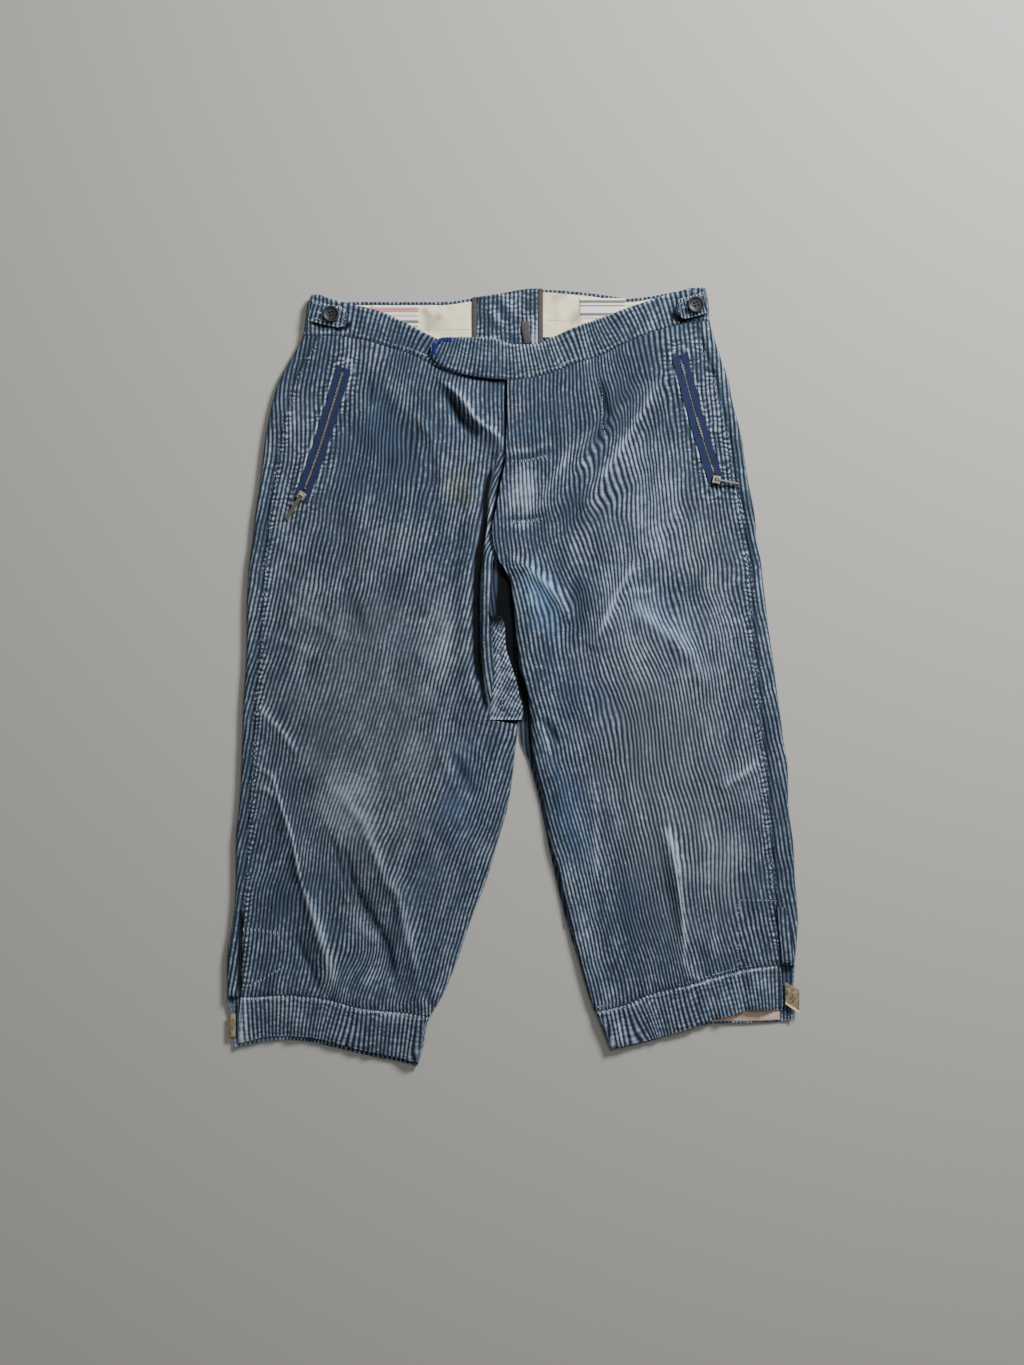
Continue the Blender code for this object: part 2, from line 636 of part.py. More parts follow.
def band_points(line, gap, left, right, far, height=None, rows=3):
    """A band sewn to a panel: the panel's last row, moved off by the seam gap and drawn to the far edge.

    left and right give the band's ends as functions of y, which its columns follow. Where a height
    function is given, the flat columns keep their distance from it.
    """
    x, y, z = line[:, 0], line[:, 1] + gap, line[:, 2]
    share = (x - left(y)) / (right(y) - left(y))
    flat = ramp(np.minimum(x - x.min(), x.max() - x), 4.5, 16)
    made = []
    for v in np.linspace(0, 1, rows):
        to_x = x
        for _ in range(4):
            to_y = y + (far(to_x) - y) * v
            to_x = left(to_y) + share * (right(to_y) - left(to_y))
        to_z = z if height is None else z + flat * (height(to_x, to_y) - height(x, y))
        made.append(np.stack([to_x, to_y, to_z], axis=1))
    return np.array(made)


def round_end(points, end_x, length, share=0.92):
    """Draws the last stretch of a band together into a round end."""
    gap = np.clip(np.abs(points[..., 0] - end_x) / length, 0, 1)
    width = np.sqrt(np.clip(1 - (share * (1 - gap)) ** 2, 0, 1))
    middle = points[..., 1].mean(axis=0)
    points[..., 1] = middle + (points[..., 1] - middle) * width
    return points


def outline_edge(outline, column, shift=0.0):
    """An outline's column as a function of y."""
    return lambda y: edge(outline, column, y) + shift


def band_edge(curve, shift=0.0):
    """A band's edge as a function of x."""
    return lambda x: curve_y(curve, x) + shift


def waistbands(fronts, backs):
    """The front waistband's two halves and the back waistband's two halves."""
    right_side = outline_edge(RIGHT_OUTLINE, "outer")
    left_side = outline_edge(LEFT_OUTLINE, "outer")
    right_fly = outline_edge(RIGHT_OUTLINE, "inner")
    line = np.concatenate([split_arc(backs[0][0], True)[::-1], fronts[0][0]])
    right = band_points(line, SEAM_GAP, right_side, right_fly, band_edge(BAND_TOP_RIGHT))
    garment_wall("right_waistband", right, wall=BAND_WALL)

    tab_x = np.linspace(TAB_END_X, TAB_ROOT_X, 8)
    tab_y = curve_y(WAIST_SEAM, tab_x) - SEAM_GAP / 2
    tab_z = 0 * tab_x + right_height(tab_x, tab_y).max() + BAND_WALL + LAP_GAP
    tab = np.stack([tab_x, tab_y, tab_z], axis=1)
    line = np.concatenate([tab, fronts[1][0][::-1], split_arc(backs[1][0], True)])
    left = band_points(line, SEAM_GAP, constant(TAB_END_X), left_side, band_edge(BAND_TOP_LEFT))
    garment_wall("left_waistband", round_end(left, TAB_END_X, TAB_ROUND), wall=BAND_WALL)

    centre = constant(CENTRE_BACK_X)
    line = split_arc(backs[0][0], False)
    back = band_points(line, SEAM_GAP, right_side, centre, band_edge(BACK_TOP), rows=2)
    garment_wall("back_waistband_right", back, facing=-1)
    line = split_arc(backs[1][0], False)
    back = band_points(line, SEAM_GAP, centre, left_side, band_edge(BACK_TOP), rows=2)
    garment_wall("back_waistband_left", back, facing=-1)


def knee_bands(fronts, backs):
    """The front and back of each knee band, which follow the leg's last row and its height."""
    right_hem = band_edge(KNEE_HEM_RIGHT)
    right_back_hem = band_edge(KNEE_HEM_RIGHT, -4.6)
    left_hem = band_edge(KNEE_HEM_LEFT)
    left_back_hem = band_edge(KNEE_BACK_HEM_LEFT)
    for side, outline, height, hem, back_hem, front, back in (
        ("right", RIGHT_OUTLINE, right_height, right_hem, right_back_hem, fronts[0], backs[0]),
        ("left", LEFT_OUTLINE, left_height, left_hem, left_back_hem, fronts[1], backs[1]),
    ):
        slit = outline_edge(outline, "seam")
        outer = outline_edge(outline, "outer")
        inner = outline_edge(outline, "inner")
        front_ends = (slit, inner) if side == "right" else (inner, slit)
        back_ends = (outer, inner) if side == "right" else (inner, outer)
        band = band_points(front[-1], -SEAM_GAP, *front_ends, hem, height)
        garment_wall("cuff_front_" + side, band)
        line = split_arc(back[-1], False)
        band = band_points(line, -SEAM_GAP, *back_ends, back_hem)
        garment_wall("cuff_back_" + side, band, facing=-1)


def fork_piece():
    """The gusset between the right front's inner seam and the left leg, in the same rows as the seam."""
    rows = np.array([y for y in right_rows() if CROTCH_Y < y <= FORK_TOP_Y])
    seam = edge(RIGHT_OUTLINE, "inner", rows) + SEAM_GAP / 2
    free = line_x(FORK_EDGE, rows)
    share = np.linspace(0, 1, 6)
    x = columns_between(seam, free, share)
    y = np.repeat(rows[:, None], len(share), axis=1)
    start = right_height(seam, rows)[:, None]
    z = start + (FORK_EDGE_HEIGHT - start) * share ** 1.5 + FORK_CROWN * np.sin(share * math.pi)
    return garment_wall("fork_piece", np.dstack([x, y, z]))


def constant(value):
    """The value as a function of a place, unless it is one already."""
    return value if callable(value) else (lambda place: np.full(np.shape(place), float(value)))


def band_grid(left, right, low, high, columns, rows, height):
    """Points of a flat piece. Its edges may be functions of x, and each may be a number."""
    left, right, low, high = (constant(value) for value in (left, right, low, high))
    u = np.linspace(0, 1, columns)[None, :]
    v = np.linspace(0, 1, rows)[:, None]
    ends = (left(np.zeros(1))[0], right(np.zeros(1))[0])
    x = np.repeat(ends[0] + (ends[1] - ends[0]) * u, rows, axis=0)
    y = low(x) + (high(x) - low(x)) * v
    return np.dstack([x, y, height(x, y)])


# A flat piece between two edges in y, given as functions of x or as numbers, at the height of its bottom
Patch = namedtuple("Patch", "name left right low high bottom wall finish columns")


def flat_patch(patch):
    """A flat piece as a wall of cloth."""
    points = band_grid(patch.left, patch.right, patch.low, patch.high, patch.columns, 2,
                       lambda x, y: np.full(np.shape(x), float(patch.bottom)))
    return cloth(patch.name, points, patch.finish, patch.wall, grow=1.0)


def waist_inside():
    """What shows inside the back waistband: lining, corduroy at centre back, bindings, loop, labels."""
    under_top = band_edge(BACK_TOP, -2.2)
    full_top = band_edge(BACK_TOP, 0.5)
    on_panel = LINING_HEIGHT + WALL + SEAM_GAP
    on_lining = LINING_HEIGHT + LINING_WALL + SEAM_GAP
    for patch in (
        Patch("lining_right", -203, -42, 337, under_top, LINING_HEIGHT, LINING_WALL, LINING, 8),
        Patch("lining_left", 30.5, 193, 344, under_top, LINING_HEIGHT, LINING_WALL, LINING, 8),
        Patch("centre_back_panel", -36.5, 25, 330, full_top, LINING_HEIGHT, WALL, CORDUROY, 6),
        Patch("binding_right", -41.6, -37, 334, full_top, LINING_HEIGHT, BINDING_WALL, BINDING, 2),
        Patch("binding_left", 25.5, 30, 338, full_top, LINING_HEIGHT, BINDING_WALL, BINDING, 2),
        Patch("back_loop", 9, 20, 337.5, 360, on_panel, LOOP_WALL, BINDING, 2),
        Patch("label_right", -144, -96, 355, 376, on_lining, LABEL_WALL, LABEL, 2),
        Patch("label_left", 68, 114, 363, 383.5, on_lining, LABEL_WALL, LABEL, 2),
    ):
        flat_patch(patch)


def surface_of(*items):
    """Search trees of finished pieces, to lay other pieces on."""
    bpy.context.view_layer.update()
    graph = bpy.context.evaluated_depsgraph_get()
    return [BVHTree.FromObject(item, graph) for item in items]


def top_at(trees, x, y):
    """Height in millimetres of the highest piece at (x, y)."""
    start = Vector(((x - CENTRE_X) * MM, (y - CENTRE_Y) * MM, 0.1))
    hits = [tree.ray_cast(start, Vector((0, 0, -1)))[0] for tree in trees]
    heights = [hit.z / MM for hit in hits if hit is not None]
    return max(heights) if heights else 0.0


def path_frame(path, count):
    """Points at even steps along a smooth path, and the direction there."""
    points = np.asarray(path, float)
    run = np.concatenate(([0], np.cumsum(np.hypot(*np.diff(points, axis=0).T))))
    t = np.linspace(0, run[-1], count)
    x = smooth_line(run, points[:, 0], t)
    y = smooth_line(run, points[:, 1], t)
    way = np.stack([np.gradient(x), np.gradient(y)], axis=1)
    return np.stack([x, y], axis=1), way / np.linalg.norm(way, axis=1)[:, None]


def strip_on(name, path, width, trees, wall, finish, count, across=3, lift=REST_GAP, shape=None):
    """A strip along a path, laid on the pieces below it."""
    middle, way = path_frame(path, count)
    side = np.stack([-way[:, 1], way[:, 0]], axis=1)
    half = np.full(count, width / 2) if shape is None else shape(np.linspace(0, 1, count)) * width / 2
    offsets = np.linspace(-1, 1, across)
    flat = middle[:, None, :] + side[:, None, :] * (half[:, None] * offsets[None, :])[..., None]
    heights = np.array([[top_at(trees, *place) for place in line] for line in flat]) + lift
    return cloth(name, np.dstack([flat, heights]), finish, wall, grow=1.0)


ZIP_PATHS = {
    "right": ((-171.6, 312), (-184, 271), (-196, 232), (-207, 201), (-216, 177)),
    "left": ((169, 325), (176, 299), (185.5, 264), (196, 230), (207.5, 194)),
}
Pull = namedtuple("Pull", "x y turn length width height neck ring")
PULLS = {
    "right": Pull(-214.5, 182.0, math.atan2(-26, -17), 29.0, 4.0, 1.2, 2.8, 2.5),
    "left": Pull(206.5, 198.0, math.atan2(-4, 23), 22.5, 1.4, 3.0, 1.7, 2.0),
}


def shorten(path, start, end):
    """The path with its ends drawn in by two lengths."""
    points = np.asarray(path, float)
    first = points[1] - points[0]
    last = points[-2] - points[-1]
    points[0] += first / np.linalg.norm(first) * start
    points[-1] += last / np.linalg.norm(last) * end
    return points


def pocket_zip(side, fronts):
    """A pocket's zip: its tape, its row of teeth, its slider and its pull tab."""
    path = ZIP_PATHS[side]
    tape = strip_on("zip_tape_" + side, path, TAPE_WIDTH, fronts, TAPE_WALL, ZIP_TAPE, 15)
    on_tape = surface_of(tape)
    teeth_path = shorten(path, 4.0, 12.5)
    strip_on("zip_teeth_" + side, teeth_path, TEETH_WIDTH, on_tape, TEETH_WALL, BRASS, 15, across=2,
             lift=SEAM_GAP)
    slider_and_pull(side, on_tape, fronts)


def box(name, size, centre):
    """A box of the given size about a centre, in millimetres, made from Blender's cube."""
    bpy.ops.mesh.primitive_cube_add(size=1.0)
    item = bpy.context.active_object
    item.name = name
    item.data.name = name
    for vertex in item.data.vertices:
        vertex.co = Vector([(vertex.co[i] * size[i] + centre[i]) * MM for i in range(3)])
    move_to(item, collection)
    return item


def rod(name, radius, length, centre, axis, sides=16):
    """A cylinder along X or Z about a centre, in millimetres, made from Blender's cylinder."""
    turn = (0, math.pi / 2, 0) if axis == "X" else (0, 0, 0)
    bpy.ops.mesh.primitive_cylinder_add(
        vertices=sides, radius=radius * MM, depth=length * MM, rotation=turn)
    item = bpy.context.active_object
    item.name = name
    bpy.ops.object.transform_apply(location=False, rotation=True, scale=False)
    for vertex in item.data.vertices:
        vertex.co += Vector(centre) * MM
    move_to(item, collection)
    return item


def move_to(item, home):
    """Puts an object in one collection only."""
    for old in list(item.users_collection):
        old.objects.unlink(item)
    home.objects.link(item)


def combine(item, other, operation):
    """Joins or cuts an object with another, which then serves as a guide only."""
    step = item.modifiers.new(other.name, "BOOLEAN")
    step.operation = operation
    step.object = other
    move_to(other, cutters)
    other.hide_render = True
    other.display_type = "WIRE"


def place(item, x, y, z, spin, pitch, guides=()):
    """Puts a piece and the guides of its Booleans at a place, turned about Z and then tipped."""
    for part in (item, *guides):
        part.rotation_euler = (pitch, 0.0, spin)
        part.location = Vector((x - CENTRE_X, y - CENTRE_Y, z)) * MM


def slider_and_pull(side, on_tape, fronts):
    """The slider with its two lugs and pin, and the pull tab that hangs on the pin.

    Both are drawn about the pin's middle, the pin along X and the tab along -Y.
    """
    pull = PULLS[side]
    spin = pull.turn + math.pi / 2
    pin_above_body = RING_OUTER + 0.35
    seat = top_at(on_tape, pull.x, pull.y) + REST_GAP
    pin_z = seat + SLIDER_HEIGHT + pin_above_body
    body_middle = -pin_above_body - SLIDER_HEIGHT / 2
    body = box("zip_slider_" + side, (SLIDER_LENGTH, SLIDER_LENGTH, SLIDER_HEIGHT), (0, 0, body_middle))
    lug_top = 1.2
    lug_height = lug_top + pin_above_body + 0.5
    guides = [box("lug", (1.2, 2.8, lug_height), (x, 0, lug_top - lug_height / 2)) for x in (-2.5, 2.5)]
    guides.append(rod("pin", PIN_RADIUS, 5.4, (0, 0, 0), "X", 12))
    for guide in guides:
        combine(body, guide, "UNION")
    body.data.materials.append(material(BRASS))
    place(body, pull.x, pull.y, pin_z, spin, 0.0, guides)

    way = np.array([math.cos(pull.turn), math.sin(pull.turn)])
    tilt = STEEPEST_PULL
    for run in pull.length * np.linspace(0.35, 1.0, 8):
        ground = top_at(fronts + on_tape, pull.x + way[0] * run, pull.y + way[1] * run) + REST_GAP
        tilt = min(tilt, math.atan2(pin_z - ground - pull.height / 2, run))
    start = RING_OUTER + 0.5
    tab_size = (pull.width, pull.length - start, pull.height)
    tab = box("zip_pull_" + side, tab_size, (0, -(pull.length + start) / 2, 0))
    neck_length = start + 0.8
    neck = box("neck", (pull.neck, neck_length, 1.1), (0, -neck_length / 2, 0))
    ring = rod("ring", RING_OUTER, pull.ring, (0, 0, 0), "X", 16)
    bore = rod("bore", RING_INNER, 8.0, (0, 0, 0), "X", 12)
    combine(tab, neck, "UNION")
    combine(tab, ring, "UNION")
    combine(tab, bore, "DIFFERENCE")
    tab.data.materials.append(material(BRASS))
    place(tab, pull.x, pull.y, pin_z, spin, tilt, (neck, ring, bore))
    for item in (body, tab):
        item.data.shade_smooth()
        item.data.set_sharp_from_angle(angle=math.radians(35))


def side_tab(side, path, bands):
    """A waist adjuster strap on the waistband, round at its tip, and its four-hole button."""
    def shape(t):
        return np.sqrt(np.clip(1 - (np.clip((t - 0.78) / 0.22, 0, 1) * 0.93) ** 2, 0, 1))

    return strip_on("side_tab_" + side, path, SIDE_TAB_WIDTH, bands, WALL, CORDUROY, 12, across=4,
                    shape=shape)


def button(side, x, y, trees):
    """A four-hole button with a raised rim, turned from a profile, on its strap."""
    radius = BUTTON_DIAMETER / 2
    profile = [(0.0, BUTTON_HEIGHT - 1.1), (radius * 0.55, BUTTON_HEIGHT - 1.0),
               (radius * 0.72, BUTTON_HEIGHT - 0.4), (radius * 0.9, BUTTON_HEIGHT),
               (radius, 2.2), (radius, 1.1), (radius * 0.82, 0.0), (0.0, 0.0)]
    steps = [(i, i + 1) for i in range(len(profile) - 1)]
    mesh = bpy.data.meshes.new("button_" + side)
    mesh.from_pydata([(r * MM, 0, z * MM) for r, z in profile], steps, [])
    mesh.materials.append(material(HORN))
    item = bpy.data.objects.new("button_" + side, mesh)
    collection.objects.link(item)
    turned = item.modifiers.new("Turned", "SCREW")
    turned.steps = BUTTON_SIDES
    turned.render_steps = BUTTON_SIDES
    turned.use_merge_vertices = True
    turned.merge_threshold = 0.00005
    turned.use_smooth_shade = False
    holes = []
    for angle in np.radians((45, 135, 225, 315)):
        centre = (HOLE_OFFSET * math.cos(angle), HOLE_OFFSET * math.sin(angle), BUTTON_HEIGHT / 2)
        holes.append(rod("thread_hole", BUTTON_HOLE / 2, BUTTON_HEIGHT * 2.5, centre, "Z", 6))
    for hole in holes:
        combine(item, hole, "DIFFERENCE")
    around = np.linspace(0, 2 * math.pi, 12, endpoint=False)
    seats = [top_at(trees, x + radius * math.cos(a), y + radius * math.sin(a)) for a in around]
    place(item, x, y, max(seats + [top_at(trees, x, y)]) + SEAM_GAP, BUTTON_TURN, 0.0, holes)
    return item


def knee_trim(legs):
    """The left slit's underlap, the left band's facing, and the strap end and leather tab at the bands."""
    rows = np.array(UNDERLAP_ROWS)
    columns = 4
    start = edge(LEFT_OUTLINE, "seam", rows) + SEAM_GAP + REST_GAP
    across = columns_between(start, line_x(UNDERLAP_EDGE, rows), np.linspace(0, 1, columns))
    flat = np.dstack([across, np.repeat(rows[:, None], columns, axis=1)])
    heights = np.array([[top_at(legs, *place) for place in line] for line in flat]) + REST_GAP
    cloth("underlap_left", np.dstack([flat, heights]), CORDUROY, UNDERLAP_WALL, grow=1.0)
    flat_patch(Patch("cuff_facing_left", 196, 272, -330, band_edge(KNEE_BACK_HEM_LEFT, 1.8), LINING_HEIGHT,
                     LINING_WALL, FACING, 6))
    flat_patch(Patch("cuff_strap_right", -288, -282.2, -368, -345, STRAP_HEIGHT, STRAP_WALL, LEATHER, 2))
    tab = np.array([[(277, -334.5, 0), (291, -344, 0)], [(277, -312.5, 0), (291, -320, 0)]], float)
    tab[..., 2] = STRAP_HEIGHT
    cloth("cuff_tab_left", tab, LEATHER, KNEE_TAB_WALL, grow=1.0)


def main():
    clear_scene()
    rows = (right_rows(), left_rows())
    fronts = (
        front_points(rows[0], right_columns, right_height, right_knee_shift),
        front_points(rows[1], left_columns, left_height, left_knee_shift),
    )
    backs = (
        back_points(RIGHT_OUTLINE, rows[0], right_height, -1, RIGHT_BACK_ROLL,
                    right_back_shift, right_knee_shift),
        back_points(LEFT_OUTLINE, rows[1], left_height, 1, LEFT_BACK_ROLL,
                    left_back_shift, left_knee_shift),
    )
    legs = [
        garment_wall("right_front", fronts[0]),
        garment_wall("left_front", fronts[1]),
        garment_wall("right_back", backs[0], facing=-1),
        garment_wall("left_back", backs[1], facing=-1),
    ]
    fork_piece()
    waistbands(fronts, backs)
    waist_inside()
    knee_bands(fronts, backs)
    cloth_below = surface_of(*legs)
    knee_trim(cloth_below)
    for side in ("right", "left"):
        pocket_zip(side, cloth_below)
    bands = surface_of(collection.objects["right_waistband"], collection.objects["left_waistband"])
    tabs = [
        side_tab("right", ((-205.5, 370), (-190, 366), (-169, 362)), bands),
        side_tab("left", ((195.5, 378), (182, 374), (167, 371)), bands),
    ]
    on_tabs = surface_of(*tabs)
    button("right", -184.5, 366.0, on_tabs)
    button("left", 185.5, 375.5, on_tabs)


main()
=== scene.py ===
"""Corduroy knee breeches laid flat, front up: an add-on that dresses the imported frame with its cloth.

Shapes are worked out in millimetres. X points to the wearer's left, Y to the waist and Z up, and
metres() moves them into the frame. Grain is a place on the cloth: across the wales and along them.
"""
import math
from collections import namedtuple

import bpy
import numpy as np
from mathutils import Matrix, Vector
from mathutils.bvhtree import BVHTree


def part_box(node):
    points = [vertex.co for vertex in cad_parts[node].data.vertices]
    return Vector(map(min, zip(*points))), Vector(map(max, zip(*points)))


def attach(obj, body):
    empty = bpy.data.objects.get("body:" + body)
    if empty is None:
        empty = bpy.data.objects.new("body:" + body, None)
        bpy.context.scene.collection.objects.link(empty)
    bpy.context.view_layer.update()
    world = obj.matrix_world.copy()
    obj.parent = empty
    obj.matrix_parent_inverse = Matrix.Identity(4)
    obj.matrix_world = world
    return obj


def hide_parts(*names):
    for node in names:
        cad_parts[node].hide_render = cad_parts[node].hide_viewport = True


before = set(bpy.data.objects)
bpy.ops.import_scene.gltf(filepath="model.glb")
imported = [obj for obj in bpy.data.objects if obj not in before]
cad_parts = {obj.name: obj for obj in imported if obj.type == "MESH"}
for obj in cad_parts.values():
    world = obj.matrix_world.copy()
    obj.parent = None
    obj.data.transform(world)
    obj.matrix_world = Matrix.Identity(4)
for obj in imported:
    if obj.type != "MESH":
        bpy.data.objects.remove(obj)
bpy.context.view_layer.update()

bl_info = {
    "name": "Corduroy Breeches",
    "version": (1, 0, 0),
    "blender": (4, 5, 0),
    "location": "View3D > Sidebar > Breeches",
    "description": "Builds the cloth, trimmings and studio of a pair of corduroy knee breeches laid flat",
    "category": "Object",
}

# Shape of the solids, in millimetres, as the frame was built. First the middle of the footprint
CENTRE = np.array([0.0, -2.264, 0.0])

# Thickness of the cloth, and the gaps between pieces that meet at a seam or lie on each other
WALL = 2.0
SEAM_GAP = 0.3
REST_GAP = 0.45

# Height of a leg's upper side, how it swells towards its edges, and how it sinks where the fly laps over it
PANEL_HEIGHT = 7.0
EDGE_RISE = 1.5
EDGE_REACH = 18.0
EDGE_PROBE = 4.0
TUCK_HEIGHT = 4.5
TUCK_CLEARANCE = 2.0
TUCK_SLOPE = 1.1
TUCK_REACH = 30.0
FLY_RISE = 1.2
FLY_REACH = 22.0
LOWEST_FRONT = 4.4

# Thickness of the front waistband, and the lap tab at its left half's end
BAND_WALL = 2.2
LAP_GAP = 0.5
TAB_END_X = -83.0
TAB_ROOT_X = -14.0
TAB_ROUND = 11.0

# Nominal rows and columns: waist, side seams, knee, crotch, centre-back seam and foot of the fly
WAIST_Y = 344.0
RIGHT_SIDE_X = -200.0
LEFT_SIDE_X = 188.0
KNEE_Y = -327.0
CROTCH_Y = -47.0
CROTCH_STEP = 3.0
CENTRE_BACK_X = -5.0
CROTCH_BACK_X = 5.0
FLY_END_Y = 125.0

# How the side slits open below their tops
SLIT_FADE = 12.0
SLIT_OPENING = 1.2

# Rows past which the nominal rows bend to follow the waist seam and the knee seam
WAIST_LEVEL_Y = 150.0
KNEE_LEVEL_Y = -170.0

# A rolled edge: the bend under which it counts as flat, its stub there, its missing last turn in radians
LEAST_BEND = 0.05
ROLL_STUB = 3.0
TURN_GAP = 0.037

# What lies inside the waist and at the knee bands, and the gusset at the fork
LINING_HEIGHT = 2.35
LINING_WALL = 1.0
FORK_TOP_Y = 60.0
FORK_EDGE_HEIGHT = 5.2
FORK_CROWN = 0.8
STRAP_HEIGHT = 4.6
UNDERLAP_WALL = 1.4

# Rows up and down whose mean gives a front's evenly spaced columns
EVEN_STEPS = (-24, -16, -8, 0, 8, 16, 24)

# Least width in metres given to a sheet of cloth's flat size
LEAST_CUT = 0.01

# Rows of a leg's grid, and its columns: a front's from the side seam and round the inner edge, and a
# back's over the top, round the outer edge, along the floor and up at the inner edge
LEG_ROWS = 201
FRONT_COLUMNS = (282, 7)
BACK_COLUMNS = (10, 19, 48, 7)

# The inner side of a wall has one point for this many of the outer side's, along the rows and the columns
INNER_STEP = 4

# The column in which a back stands upright at its outer edge, where its two waistbands are cut apart
BACK_CUT = BACK_COLUMNS[0] + (BACK_COLUMNS[1] - 1) // 2

# Share of a fold's pull that its wales follow, for the large folds and for the small creases
FOLD_PULL = 0.6
CREASE_PULL = 0.35


def rows_of(kind, rows):
    """A table's rows, with the names of its columns."""
    return tuple(kind(*row) for row in rows)


# One row of a leg's outline: the outer edge, the side seam, and the inner edge of the front
Outline = namedtuple("Outline", "y outer seam inner")
RIGHT_OUTLINE = rows_of(Outline, (
    (395, -203, -190, 2), (387, -205, -190, 2), (378, -209, -194, 2), (362, -211, -197, 2),
    (344, -214, -200, 2), (321, -226, -212, 2), (301, -237, -222, 2), (280, -244, -228, 2),
    (240, -252, -237, 1), (199, -257, -244, -2), (158, -263, -250, -9), (136, -265, -251, -14),
    (117, -268, -254, -20), (92, -270, -255, -22), (66, -271, -256, -25), (34, -271, -258, -21),
    (7, -272, -260, -19), (-20, -274, -262, -22), (-46, -275, -264, -24), (-50, -275, -264, 5),
    (-80, -276, -266, 2), (-109, -277, -268, -1), (-137, -279, -269, -6), (-168, -282, -271, -15),
    (-209, -282, -273, -27), (-250, -285, -276, -43), (-291, -291, -277, -57), (-327, -291, -278, -72),
    (-352, -285, -280, -86), (-377, -283, -281, -91), (-398, -280, -279, -97)))
LEFT_OUTLINE = rows_of(Outline, (
    (398, 195, 181, -6), (378, 199, 185, -6), (362, 200, 187, -6), (342, 205, 191, -6),
    (321, 212, 199, -6), (301, 219, 206, -6), (280, 223, 211, -6), (240, 233, 221, -7),
    (217, 236, 224, -8), (193, 240, 228, -13), (170, 245, 234, -17), (153, 247, 236, -21),
    (135, 248, 238, -20), (118, 252, 241, -15), (99, 254, 243, -4), (73, 257, 244, 0),
    (34, 262, 246, 4), (5, 266, 249, 7), (-12, 268, 251, 13), (-48, 273, 254, 18),
    (-66, 275, 256, 19), (-87, 279, 258, 21), (-109, 280, 260, 26), (-128, 280, 261, 31),
    (-168, 285, 264, 37), (-209, 287, 267, 48), (-250, 290, 269, 57), (-291, 287, 273, 67),
    (-332, 285, 276, 79), (-356, 285, 273, 89), (-385, 284, 271, 100)))

# Other edges, each a row of (y, x)
LEFT_BACK_INNER = ((-48, 7), (-66, 8), (-87, 16), (-109, 22), (-128, 27), (-168, 35), (-209, 44),
                   (-250, 54), (-291, 67))
UNDERLAP_EDGE = ((-300, 284), (-292, 283.5), (-278, 284), (-255, 281.5), (-232, 275))
FORK_GAP = ((226, -15), (211, -18), (198, -22), (181, -25), (156, -26.5), (140, -28), (125, -31), (105, -33),
            (60, -34), (28, -33.5), (5, -31), (-20, -27), (-38, -23), (-50, -20))
FORK_TURN_Y = (118, 140)
FORK_EDGE = ((66, -16), (53, -9), (27, -7), (14, -3), (-5, 3), (-22, 7), (-35, 10), (-46, 9))

# Curved edges of the bands, each a row of (x, y)
WAIST_SEAM = (
    (-217, 344), (-183, 345), (-153, 341), (-122, 333), (-91, 323), (-74, 314), (-49, 305), (-5, 300),
    (16, 302), (35, 307), (60, 317), (83, 324), (112, 337), (143, 349), (174, 357), (203, 361))
BAND_TOP_RIGHT = (
    (-209, 386), (-200, 387), (-183, 382), (-163, 377), (-133, 369), (-111, 359), (-91, 349), (-74, 341),
    (-40, 333), (-6, 329))
BAND_TOP_LEFT = (
    (-85, 341), (-76, 342), (-49, 343), (-18, 341), (3, 336), (22, 336), (39, 343), (60, 353), (91, 364),
    (120, 375), (154, 386), (190, 394), (203, 392))
BACK_TOP = (
    (-209, 381), (-178, 380), (-123, 380), (-72, 380), (-40, 384), (-13, 388), (19, 393), (48, 392),
    (93, 387), (120, 383), (140, 386), (170, 391), (198, 393))
KNEE_SEAM_RIGHT = (
    (-291, -326), (-278, -327), (-237, -325), (-195, -328), (-153, -338), (-115, -342), (-80, -346))
KNEE_HEM_RIGHT = (
    (-291, -373), (-278, -374), (-257, -369), (-237, -367), (-205, -369), (-173, -377), (-143, -384),
    (-111, -390), (-93, -395))
KNEE_SEAM_LEFT = (
    (81, -341), (111, -335), (140, -324), (177, -315), (212, -305), (247, -297), (274, -295), (289, -295))
KNEE_HEM_LEFT = (
    (94, -381), (131, -373), (165, -364), (201, -352), (224, -345), (243, -340), (270, -341), (283, -342))
KNEE_BACK_HEM_LEFT = (
    (94, -383), (131, -375), (165, -365), (201, -355), (242, -354), (270, -353), (286, -351))
